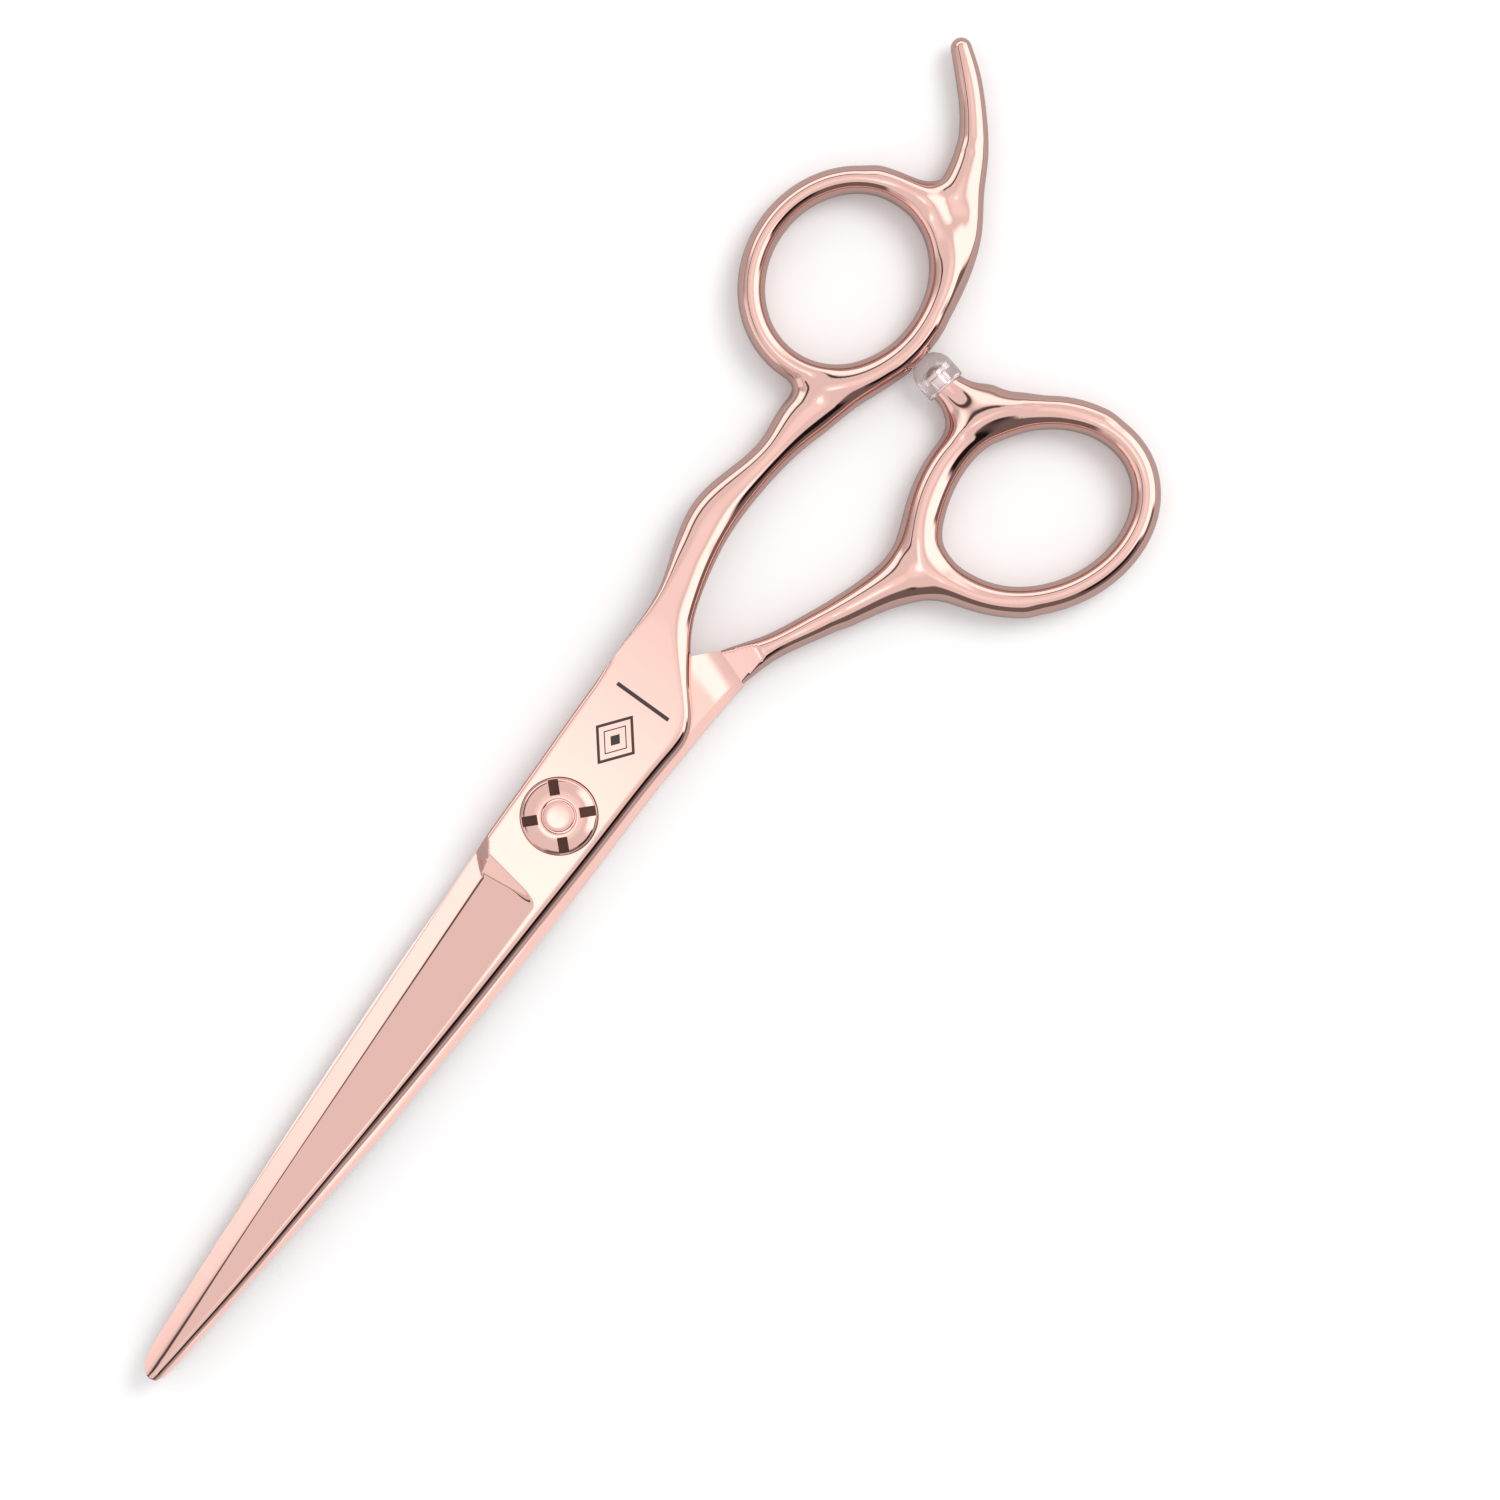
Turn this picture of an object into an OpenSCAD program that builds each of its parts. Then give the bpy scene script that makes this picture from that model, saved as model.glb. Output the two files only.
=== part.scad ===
// Hair cutting shears with offset handles, a fixed finger rest and a dial-adjusted pivot.
// Origin: on the pivot axis, in the plane that the closed shears rest on.
// +X runs to the blade tips, +Z to the dial. The finger half lies over the thumb half.

/* [Blades] */
// Distance from the pivot axis to the blade tips
tip_x = 75.2; // [73:0.1:78]
// Thickness of each half at the pivot
half_t = 2.95; // [2.8:0.05:3.1]
// Gap between the inner faces of the two halves
part_gap = 0.1; // [0.05:0.01:0.15]
// Distance from the pivot axis to the step where the ground facets begin
step_x = 8.3; // [7.5:0.1:9]
// Slope of the main ground facet, in degrees
facet_slope = 14; // [12:0.5:15]
// Slope of the narrow facet along the cutting edge, in degrees
edge_slope = 31; // [29:0.5:33]
// Thickness that the spine loses between the pivot and the tip
spine_drop = 1.1; // [0.8:0.1:1.3]

/* [Handles] */
// Height of the rings above the resting plane
ring_h = 5.1; // [4.9:0.1:5.3]
// Width of the finger ring's tube, seen from above
finger_tube_w = 3.0; // [2.8:0.1:3.2]
// Width of the thumb ring's tube, seen from above
thumb_tube_w = 3.2; // [3:0.1:3.4]
// Long radius of the finger ring's centreline
finger_ring_a = 11.15; // [11:0.05:11.3]
// Short radius of the finger ring's centreline
finger_ring_b = 9.95; // [9.8:0.05:10.1]
// Long radius of the thumb ring's centreline
thumb_ring_a = 12.3; // [12.1:0.1:12.5]
// Short radius of the thumb ring's centreline
thumb_ring_b = 9.8; // [9.6:0.1:10]

/* [Pivot] */
// Radius of the tension dial
dial_r = 4.15; // [4.05:0.05:4.3]
// Height of the dial's crown above the resting plane
dial_top = 7.9; // [7.7:0.1:8.1]
// Width of the dial's slots
dial_slot_w = 1.1; // [0.9:0.1:1.3]
// Radius of the bolt's threaded end
bolt_end_r = 1.7; // [1.6:0.05:1.7]
// Radius of the bolt's bearing length
bolt_r = 2.0; // [1.9:0.05:2.05]
// Radius of the bolt's head
bolt_head_r = 3.4; // [3.2:0.1:3.6]
// Radial clearance of every running fit
run_fit = 0.05; // [0.03:0.01:0.08]

/* [Bumper] */
// Radius of the silicone bumper
bumper_r = 2.3; // [2.2:0.1:2.4]
// Length of the bumper from the boss to its crown
bumper_len = 4.3; // [4:0.1:4.3]

/* [Hidden] */
$fn = 48;

// Levels of the two halves
thumb_top = half_t;
finger_bottom = half_t + part_gap;
finger_top = finger_bottom + half_t;

// Levels of the pivot stack, from the bolt's head up
head_t = 0.9;
washer_pocket = 0.15;
glide_low = thumb_top - washer_pocket;
glide_high = finger_bottom + washer_pocket;
bush_low = glide_high + 0.05;
stack_low = finger_top - 1.0;
flange_t = 0.2;
thrust_t = 0.2;
spring_t = 0.3;
click_t = 0.2;
thrust_low = stack_low + flange_t;
spring_low = thrust_low + thrust_t;
click_low = spring_low + spring_t;
dial_low = click_low + click_t;
collar_relief = 0.3;
dial_skirt_low = finger_top + 0.2;
dial_rim_top = dial_skirt_low + 0.5;
slot_floor = dial_rim_top - 0.1;

// Lean of the step's wall in plan, in degrees
step_lean = 9;

// Radii of the pivot stack
glide_r = 4.5;
pocket_r = glide_r + 0.1;
bush_r = 2.9;
flange_r = 3.6;
stack_r = 3.9;
key_half = 1.8;
slot_inner_r = 2.3;

// Where each blade is welded to its handle
finger_weld_x = -26;
thumb_weld = [-23.85, 5.8];
thumb_weld_angle = 160.4;

// Ring centres
finger_ring_c = [-65.3, -8.8];
thumb_ring_c = [-57.1, 22.2];
thumb_ring_angle = 146;

// Bumper boss: centre of its end face, and the way it faces in plan
boss_end = [-62.1, 6.8];
boss_angle = -102.5;
boss_z = ring_h / 2;
stud_r = 0.8;
stud_collar_r = 1.5;
stud_head_r = 1.25;

// Arc of a circle as a list of points, from angle a0 to a1
function arc(c, r, a0, a1, n = 6) =
    [for (i = [0:n]) let (a = a0 + (a1 - a0) * i / n) [c[0] + r * cos(a), c[1] + r * sin(a)]];

// Catmull-Rom curve through control points that may hold any number of values
function knot(p, i) = p[max(0, min(len(p) - 1, i))];
function spline_at(p, i, t) =
    let (a = knot(p, i - 1), b = knot(p, i), c = knot(p, i + 1), d = knot(p, i + 2))
    0.5 * (2 * b + (c - a) * t + (2 * a - 5 * b + 4 * c - d) * t * t
        + (3 * b - a - 3 * c + d) * t * t * t);
function spline(p, steps) =
    concat(
        [for (i = [0:len(p) - 2]) for (k = [0:steps - 1]) spline_at(p, i, k / steps)],
        [p[len(p) - 1]]
    );

// Superellipse value, rounder than a square and fuller than an ellipse
function full(v) = sign(v) * pow(abs(v), 0.8);

// Closed ring of section points around row s = [x, y, half width, z low, z high],
// crossing the plan direction dir
sides = 12;
function section(s, dir) =
    let (n = [-dir[1], dir[0]] / norm(dir), zm = (s[3] + s[4]) / 2, zh = (s[4] - s[3]) / 2)
    [for (k = [0:sides - 1])
        let (a = 360 * (k + 0.5) / sides, w = s[2] * full(cos(a)), z = zm + zh * full(sin(a)))
        [s[0] + n[0] * w, s[1] + n[1] * w, z]];

// Solid bar along rows, a list of section rows
module bar(rows) {
    count = len(rows);
    points = [for (i = [0:count - 1])
        let (a = rows[max(0, i - 1)], b = rows[min(count - 1, i + 1)])
        each section(rows[i], [b[0] - a[0], b[1] - a[1]])];
    walls = [for (i = [0:count - 2]) for (k = [0:sides - 1])
        let (p = i * sides + k, q = i * sides + (k + 1) % sides)
        each [[p, p + sides, q], [q, p + sides, q + sides]]];
    first = [[for (k = [0:sides - 1]) k]];
    last = [[for (k = [0:sides - 1]) count * sides - 1 - k]];
    polyhedron(points = points, faces = concat(walls, first, last));
}

// Oval ring lying flat, with its tube swept round an ellipse
module oval_ring(centre, a, b, angle, tube_w) {
    steps = 40;
    rows = [for (i = [0:steps - 1]) let (t = 360 * i / steps)
        [centre[0] + a * cos(t) * cos(angle) - b * sin(t) * sin(angle),
            centre[1] + a * cos(t) * sin(angle) + b * sin(t) * cos(angle),
            tube_w / 2, 0, ring_h]];
    points = [for (i = [0:steps - 1])
        let (p = rows[(i + steps - 1) % steps], q = rows[(i + 1) % steps])
        each section(rows[i], [q[0] - p[0], q[1] - p[1]])];
    faces = [for (i = [0:steps - 1]) for (k = [0:sides - 1])
        let (j = (i + 1) % steps, m = (k + 1) % sides)
        each [[i * sides + k, j * sides + k, i * sides + m],
            [i * sides + m, j * sides + k, j * sides + m]]];
    polyhedron(points = points, faces = faces);
}

// Everything above the plane that passes through the line from p to q, both [x, y, z],
// and drops at the given slope towards -Y
module above_plane(p, q, slope) {
    along = q - p;
    yaw = atan2(along[1], along[0]);
    pitch = atan2(along[2], norm([along[0], along[1]]));
    translate(p)
        rotate([0, 0, yaw])
            rotate([0, -pitch, 0])
                rotate([slope, 0, 0])
                    translate([-60, -60, 0])
                        cube([220, 120, 20]);
}

// Cutter that grinds a blade whose cutting edge is at -Y and whose outer face is up.
// facet is the level line where the main facet leaves the spine flat, edge the cutting edge.
module grind(facet_y0, facet_y1, edge_p, edge_q) {
    top = half_t;
    above_plane([step_x, 0, top], [tip_x, 0, top - spine_drop], 0);
    intersection() {
        above_plane(
            [step_x, facet_y0, top],
            [tip_x, facet_y1, top - spine_drop],
            facet_slope
        );
        // The step's wall leans forward as it nears the spine
        translate([step_x, 0, -1])
            rotate([0, 0, -step_lean])
                translate([0, -25, 0])
                    cube([90, 50, 10]);
    }
    intersection() {
        above_plane(edge_p, edge_q, edge_slope);
        translate([step_x, 0, -1])
            rotate([0, 0, -step_lean])
                translate([0.3, -25, 0])
                    cube([90, 50, 10]);
    }
}

// Hole through a blade and its two shallow pockets for the glide washer and the stack above
module finger_bore() {
    translate([0, 0, finger_bottom - 1])
        cylinder(r = bush_r, h = half_t + 2);
    translate([0, 0, stack_low])
        cylinder(r = stack_r, h = 3);
    translate([0, 0, finger_bottom - 1])
        cylinder(r = pocket_r, h = 1 + washer_pocket + 0.02);
}

// Round bar with two flats, for the bolt and the holes it is keyed in
module keyed(r, half_flat, h) {
    intersection() {
        cylinder(r = r, h = h);
        translate([-r - 1, -half_flat, 0])
            cube([2 * r + 2, 2 * half_flat, h]);
    }
}

// Upper half: flat pivot body and blade with its cutting edge at -Y
module finger_blade() {
    outline = concat(
        [[finger_weld_x, -5.6], [-20, -5.3], [step_x, -5.1], [30, -4.5], [50, -3.6], [65, -2.75]],
        arc([tip_x - 1.6, -0.55], 1.6, -80, 0),
        arc([tip_x - 0.4, 0], 0.4, 0, 80, 3),
        [[60, 2.0], [50, 2.8], [30, 4.3], [10, 5.3], [-10, 6.2]],
        arc([-14.2, 4.1], 2.2, 75, 130),
        [[-19.5, 3.3], [-22.3, 1.4], [finger_weld_x, -0.8]]
    );
    color("lightsalmon")
        difference() {
            translate([0, 0, finger_bottom])
                linear_extrude(height = half_t)
                    polygon(outline);
            translate([0, 0, finger_bottom])
                grind(3.5, 2.1, [9, -5.0, 0.1], [60, -3.1, 0.1]);
            finger_bore();
        }
}

// Shank, finger ring and tang of the upper half
module finger_handle() {
    // Rows: x, y, half width, z low, z high
    shank = [
        [-22.0, -2.2, 3.4, finger_bottom, finger_top],
        [-26.5, -3.2, 2.45, 2.9, finger_top],
        [-31.0, -4.7, 2.3, 2.2, 5.9],
        [-36.0, -5.5, 2.6, 1.2, 5.7],
        [-41.0, -4.95, 2.15, 0.5, 5.3],
        [-46.0, -4.2, 2.0, 0.1, ring_h],
        [-51.0, -3.7, 2.75, 0, ring_h],
        [-57.0, -1.0, 1.9, 0, ring_h],
        [-62.0, 0.7, 1.5, 0, ring_h]
    ];
    tang = [
        [-68.0, 1.0, 1.4, 0, ring_h],
        [-73.0, -0.1, 1.7, 0.1, ring_h],
        [-77.0, -2.0, 2.1, 0.2, 4.9],
        [-80.4, -3.9, 2.3, 0.4, 4.7],
        [-84.0, -5.4, 1.6, 0.6, 4.5],
        [-88.0, -8.3, 1.4, 0.8, 4.3],
        [-91.0, -11.3, 1.35, 0.9, 4.2],
        [-92.8, -13.4, 1.2, 1.0, 4.1],
        [-93.5, -14.3, 0.6, 1.5, 3.6]
    ];
    tang_root = [
        [-76.4, -9.4, 1.1, 0, ring_h],
        [-77.3, -6.6, 1.9, 0.2, 4.9],
        [-78.3, -5.2, 2.2, 0.3, 4.8],
        [-80.2, -5.0, 1.9, 0.4, 4.7],
        [-84.0, -5.4, 1.5, 0.6, 4.5]
    ];
    color("lightsalmon")
        difference() {
            union() {
                bar(spline(shank, 3));
                oval_ring(finger_ring_c, finger_ring_a, finger_ring_b, 0, finger_tube_w);
                bar(spline(tang, 3));
                bar(spline(tang_root, 3));
            }
            translate([finger_weld_x, -20, -1])
                cube([20, 40, 10]);
        }
}

// Lower half: flat pivot body and blade with its cutting edge at +Y
module thumb_blade() {
    outline = concat(
        [[-26.9, 5.6], [-22.3, 1.4], [-18.5, -2.2]],
        arc([-13.6, -2.9], 2.4, 215, 268),
        [[-8, -5.35], [step_x, -5.1], [30, -4.2], [50, -3.3], [70, -1.9]],
        arc([tip_x - 0.4, -0.7], 0.4, -80, 0, 3),
        arc([tip_x - 1.0, -0.5], 1.0, 0, 80),
        [[60, 2.4], [50, 3.5], [40, 4.5], [30, 5.2], [10, 6.3], [-10, 6.9], [-20, 7.6], [-25, 8.1]]
    );
    color("salmon")
        difference() {
            linear_extrude(height = half_t)
                polygon(outline);
            // The lower half is ground from below, so the cutter is turned over
            translate([0, 0, half_t])
                rotate([180, 0, 0])
                    grind(3.3, 1.9, [9, -6.35, 0.1], [60, -2.4, 0.1]);
            translate([thumb_weld[0], thumb_weld[1], -1])
                rotate([0, 0, thumb_weld_angle])
                    translate([0, -10, 0])
                        cube([20, 20, 10]);
            translate([0, 0, head_t - 2])
                cylinder(r = bolt_head_r + 0.1, h = 2);
            keyed(bolt_r + 0.2, key_half, half_t + 1);
            translate([0, 0, glide_low])
                cylinder(r = pocket_r, h = 1);
        }
}

// Shank, thumb ring and bumper boss of the lower half
module thumb_handle() {
    // Rows: x, y, half width, z low, z high
    shank = [
        [-21.5, 4.6, 2.5, 0, ring_h],
        [-24.5, 6.0, 2.05, 0, ring_h],
        [-28.0, 7.75, 1.45, 0, ring_h],
        [-32.0, 9.85, 1.5, 0, ring_h],
        [-36.0, 11.9, 1.7, 0, ring_h],
        [-40.0, 13.7, 2.0, 0, ring_h],
        [-44.0, 14.5, 2.3, 0, ring_h],
        [-48.5, 13.5, 2.0, 0, ring_h],
        [-53.0, 12.3, 1.75, 0, ring_h],
        [-58.0, 11.7, 2.0, 0, ring_h],
        [-62.0, 12.4, 1.8, 0, ring_h]
    ];
    shoulder = [
        [-38.5, 13.4, 1.3, 0.2, ring_h - 0.2],
        [-42.3, 15.7, 2.3, 0.1, ring_h - 0.1],
        [-44.7, 19.0, 1.9, 0, ring_h],
        [-45.9, 22.6, 1.4, 0, ring_h]
    ];
    boss = [
        [-63.3, 14.6, 1.5, 0.1, ring_h - 0.1],
        [-62.6, 11.5, 2.9, 0.2, ring_h - 0.2],
        [-62.2, 8.8, 2.05, 0.5, ring_h - 0.5],
        [-62.1, 6.8, 1.85, 0.7, ring_h - 0.7],
        [-62.1, 5.4, 1.8, 0.7, ring_h - 0.7]
    ];
    color("salmon")
        difference() {
            union() {
                bar(spline(shank, 3));
                bar(spline(shoulder, 3));
                bar(spline(boss, 3));
                oval_ring(thumb_ring_c, thumb_ring_a, thumb_ring_b, thumb_ring_angle, thumb_tube_w);
            }
            translate([thumb_weld[0], thumb_weld[1], -1])
                rotate([0, 0, thumb_weld_angle])
                    translate([-20, -10, 0])
                        cube([20, 20, 10]);
            at_boss()
                translate([-5, -5, 0])
                    cube([10, 10, 10]);
            at_boss()
                translate([0, 0, -2.5])
                    cylinder(r = stud_r, h = 3);
        }
}

// Places a piece on the bumper boss, with its +Z along the bumper's axis
module at_boss() {
    translate([boss_end[0], boss_end[1], boss_z])
        rotate([0, 0, boss_angle])
            rotate([0, 90, 0])
                children();
}

// Outline of the stud from its screw end to its mushroom head
module stud_profile() {
    polygon([
        [0, -2.4], [stud_r, -2.4], [stud_r, 0], [stud_collar_r, 0], [stud_collar_r, 0.4],
        [0.7, 0.4], [0.7, 1.5], [stud_head_r, 1.5], [stud_head_r, 2.0], [0.6, 2.5], [0, 2.5]
    ]);
}

module bumper_stud() {
    color("silver")
        at_boss()
            rotate_extrude()
                stud_profile();
}

module bumper() {
    crown = bumper_len - bumper_r;
    color("mistyrose")
        at_boss()
            rotate_extrude()
                difference() {
                    polygon(concat(
                        [[0, 0], [bumper_r - 0.2, 0], [bumper_r, 0.3]],
                        arc([0, crown], bumper_r, 0, 90, 10)
                    ));
                    stud_profile();
                }
}

// Bolt: flush head below, keyed neck, bearing length, keyed collar and threaded end
module pivot_bolt() {
    color("peachpuff")
        union() {
            cylinder(r = bolt_head_r, h = head_t);
            keyed(bolt_r + 0.2, key_half, glide_low);
            translate([0, 0, head_t])
                cylinder(r = key_half, h = glide_low - head_t);
            translate([0, 0, glide_low])
                cylinder(r = bolt_r, h = click_low - 0.3 - glide_low);
            keyed(bolt_r, key_half - 0.05, dial_low);
            cylinder(r = bolt_end_r, h = dial_top);
            translate([0, 0, dial_top])
                cylinder(r1 = bolt_end_r, r2 = bolt_end_r - 0.2, h = 0.1);
        }
}

module pivot_bushing() {
    color("ivory")
        difference() {
            union() {
                translate([0, 0, bush_low])
                    cylinder(r = bush_r, h = stack_low - bush_low);
                translate([0, 0, stack_low])
                    cylinder(r = flange_r, h = flange_t);
            }
            cylinder(r = bolt_r + run_fit, h = 10);
        }
}

// Flat ring lying at z
module washer(r_out, r_in, z, t) {
    translate([0, 0, z])
        difference() {
            cylinder(r = r_out, h = t);
            translate([0, 0, -1])
                cylinder(r = r_in, h = t + 2);
        }
}

module glide_washer() {
    color("white")
        washer(glide_r, bolt_r + 0.3, glide_low, glide_high - glide_low);
}

module thrust_washer() {
    color("gainsboro")
        washer(flange_r, bolt_r + run_fit, thrust_low, thrust_t);
}

// Conical spring washer, low at its rim and high at its bore
module disc_spring() {
    sheet = 0.15;
    rise = spring_t - sheet;
    inner = bolt_r + 0.1;
    outer = flange_r - 0.1;
    color("silver")
        translate([0, 0, spring_low])
            rotate_extrude()
                polygon([[inner, rise], [outer, 0], [outer, sheet], [inner, spring_t]]);
}

// Keyed plate that slides on the bolt's collar, with four detent dimples under the dial
module click_plate() {
    color("silver")
        difference() {
            translate([0, 0, click_low])
                cylinder(r = flange_r, h = click_t);
            translate([0, 0, click_low - 1])
                keyed(bolt_r + run_fit, key_half, click_t + 2);
            for (a = [0:90:270])
                rotate([0, 0, a])
                    translate([2.9, 0, click_low + click_t])
                        sphere(r = 0.15, $fn = 24);
        }
}

// Domed nut with four slots, turned by hand or with a coin-edged key
module tension_dial() {
    // The dome's arc runs from the rim to the flat round the bolt's end
    crown_r = bolt_end_r + 0.35;
    run = dial_r - crown_r;
    rise = dial_top - dial_rim_top;
    dome_r = (run * run + rise * rise) / (2 * rise);
    sweep = 2 * atan(rise / run);
    color("darksalmon")
        difference() {
            rotate_extrude()
                polygon(concat(
                    [
                        [bolt_end_r + run_fit, dial_low + collar_relief],
                        [bolt_r + 0.15, dial_low + collar_relief], [bolt_r + 0.15, dial_low],
                        [flange_r - 0.1, dial_low], [flange_r - 0.1, dial_skirt_low],
                        [dial_r, dial_skirt_low]
                    ],
                    arc([crown_r, dial_top - dome_r], dome_r, 90 - sweep, 90, 8),
                    [[bolt_end_r + run_fit, dial_top]]
                ));
            for (a = [45:90:315])
                rotate([0, 0, a])
                    translate([slot_inner_r, -dial_slot_w / 2, slot_floor])
                        cube([4, dial_slot_w, 3]);
        }
}

finger_blade();
finger_handle();
pivot_bushing();
thrust_washer();
thumb_blade();
thumb_handle();
pivot_bolt();
glide_washer();
disc_spring();
bumper_stud();
bumper();
click_plate();
tension_dial();
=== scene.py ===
"""Hair cutting shears: finished meshes, materials, light and camera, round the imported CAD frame."""
import math
from contextlib import contextmanager

import bmesh
import bpy
import numpy as np
from mathutils import Matrix, Vector


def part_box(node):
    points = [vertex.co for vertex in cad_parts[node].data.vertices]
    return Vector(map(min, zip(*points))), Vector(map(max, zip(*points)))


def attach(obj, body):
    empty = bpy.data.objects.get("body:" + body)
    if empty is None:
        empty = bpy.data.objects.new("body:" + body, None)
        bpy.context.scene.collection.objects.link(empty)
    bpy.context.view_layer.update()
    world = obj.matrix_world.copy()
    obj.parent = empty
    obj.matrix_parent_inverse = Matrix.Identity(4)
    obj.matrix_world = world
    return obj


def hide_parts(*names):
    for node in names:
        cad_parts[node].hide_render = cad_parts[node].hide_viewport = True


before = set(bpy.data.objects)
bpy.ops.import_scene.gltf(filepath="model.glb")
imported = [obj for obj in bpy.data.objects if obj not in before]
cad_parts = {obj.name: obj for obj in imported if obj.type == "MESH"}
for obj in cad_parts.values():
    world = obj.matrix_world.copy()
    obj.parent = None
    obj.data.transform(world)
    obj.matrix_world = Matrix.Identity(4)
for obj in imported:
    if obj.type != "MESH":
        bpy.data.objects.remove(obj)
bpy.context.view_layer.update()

# Lengths in this script are millimetres in the frame's axes; MM turns them into metres.
MM = 0.001


def node_box(node):
    """Lowest and highest corner of a CAD node, in millimetres."""
    low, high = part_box(node)
    return np.array(low) / MM, np.array(high) / MM


# ---- Levels and sizes, most of them from the frame ----------------------------------------

THUMB_TOP = node_box("thumb_blade")[1][2]
FINGER_BOTTOM = node_box("finger_blade")[0][2]
FINGER_TOP = node_box("finger_blade")[1][2]
HALF_T = FINGER_TOP - FINGER_BOTTOM
TIP_X = node_box("finger_blade")[1][0]
WELD_X = node_box("finger_blade")[0][0]
RING_TOP = node_box("thumb_handle")[1][2]
DIAL_R = node_box("tension_dial")[1][0]
DIAL_TOP = node_box("tension_dial")[1][2]
DIAL_LOW = node_box("tension_dial")[0][2]
BOLT_TOP = node_box("pivot_bolt")[1][2]
BOLT_HEAD_R = node_box("pivot_bolt")[1][0]

# Sizes of the pivot that the frame's boxes don't give
BUSH_R = 2.9
STACK_R = 3.9
STACK_LOW = FINGER_TOP - 1.0
BOLT_END_R = 1.7

# The thumb blade meets its handle on a slanted plane
THUMB_WELD = np.array([-23.85, 5.8])
THUMB_WELD_ANGLE = math.radians(160.4)

FINGER_RING = {"centre": (-65.3, -8.8), "radii": (11.15, 9.95), "angle": 0.0, "half_width": 1.5}
THUMB_RING = {"centre": (-57.1, 22.2), "radii": (12.3, 9.8), "angle": 146.0, "half_width": 1.6}

# Bumper boss: centre of its end face, and the way it faces in plan
BOSS_END = np.array([-62.1, 6.8, 2.55])
BOSS_ANGLE = math.radians(-102.5)

# Section rows of the handles: x, y, half width, z low, z high, squareness of the section
FINGER_SHANK = [
    [-31.0, -4.7, 2.3, 2.2, 5.9, 2.5],
    [-36.0, -5.5, 2.6, 1.2, 5.7, 2.5],
    [-41.0, -4.95, 2.15, 0.5, 5.3, 2.4],
    [-46.0, -4.2, 2.0, 0.1, 5.1, 2.3],
    [-51.0, -3.7, 2.75, 0.0, 5.1, 2.3],
    [-57.0, -1.0, 1.8, 0.1, 5.0, 2.3],
    [-62.0, 0.8, 1.2, 0.6, 4.5, 2.2],
    [-66.0, 1.2, 0.7, 1.4, 3.7, 2.1],
]
TANG = [
    [-61.5, 0.4, 0.5, 1.6, 3.5, 2.1],
    [-65.0, 0.8, 0.8, 1.0, 4.1, 2.2],
    [-69.0, 0.7, 1.2, 0.6, 4.5, 2.2],
    [-73.0, 0.0, 1.75, 0.3, 4.8, 2.3],
    [-77.0, -1.8, 2.1, 0.4, 4.7, 2.3],
    [-80.4, -3.8, 1.95, 0.5, 4.6, 2.3],
    [-84.0, -5.6, 1.75, 0.6, 4.5, 2.2],
    [-88.0, -8.4, 1.45, 0.8, 4.3, 2.2],
    [-91.0, -11.3, 1.35, 0.9, 4.2, 2.2],
    [-92.8, -13.4, 1.15, 1.1, 4.0, 2.1],
]
TANG_ROOT = [
    [-75.9, -12.0, 0.7, 1.4, 3.7, 2.1],
    [-76.5, -9.2, 1.1, 0.7, 4.4, 2.2],
    [-77.4, -6.8, 1.7, 0.4, 4.7, 2.3],
    [-79.2, -5.3, 1.75, 0.6, 4.5, 2.3],
    [-81.6, -5.5, 1.2, 1.0, 4.1, 2.2],
    [-83.8, -6.2, 0.6, 1.6, 3.5, 2.1],
]
THUMB_SHANK = [
    [-21.5, 4.6, 2.45, 0.0, 5.6, 4.5],
    [-24.5, 6.0, 2.05, 0.0, 5.5, 4.0],
    [-28.0, 7.75, 1.45, 0.0, 5.1, 2.6],
    [-32.0, 9.85, 1.5, 0.0, 5.1, 2.4],
    [-36.0, 11.9, 1.7, 0.0, 5.1, 2.3],
    [-40.0, 13.7, 2.0, 0.0, 5.1, 2.3],
    [-44.0, 14.5, 2.3, 0.0, 5.1, 2.3],
    [-48.5, 13.5, 2.0, 0.0, 5.1, 2.3],
    [-53.0, 12.3, 1.75, 0.0, 5.1, 2.3],
    [-58.0, 11.9, 1.7, 0.2, 4.9, 2.3],
    [-62.0, 12.9, 1.2, 0.6, 4.5, 2.2],
    [-65.0, 14.8, 0.7, 1.4, 3.7, 2.1],
]
THUMB_SHOULDER = [
    [-36.0, 12.2, 0.7, 1.4, 3.7, 2.1],
    [-39.5, 13.8, 1.3, 0.6, 4.5, 2.2],
    [-42.6, 16.2, 1.9, 0.2, 4.9, 2.3],
    [-44.9, 19.4, 1.6, 0.4, 4.7, 2.3],
    [-46.2, 23.0, 1.0, 0.9, 4.2, 2.2],
    [-48.0, 27.0, 0.6, 1.5, 3.6, 2.1],
]
THUMB_BOSS = [
    [-68.3, 22.5, 0.5, 1.6, 3.5, 2.1],
    [-67.0, 18.8, 0.8, 1.2, 3.9, 2.1],
    [-64.6, 15.4, 1.3, 0.6, 4.5, 2.2],
    [-62.4, 11.8, 2.9, 0.3, 4.8, 2.3],
    [-61.95, 8.8, 2.35, 0.5, 4.6, 2.1],
    [-62.1, 6.8, 1.85, 0.7, 4.4, 2.0],
    [-62.1, 5.4, 1.8, 0.7, 4.4, 2.0],
]

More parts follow.
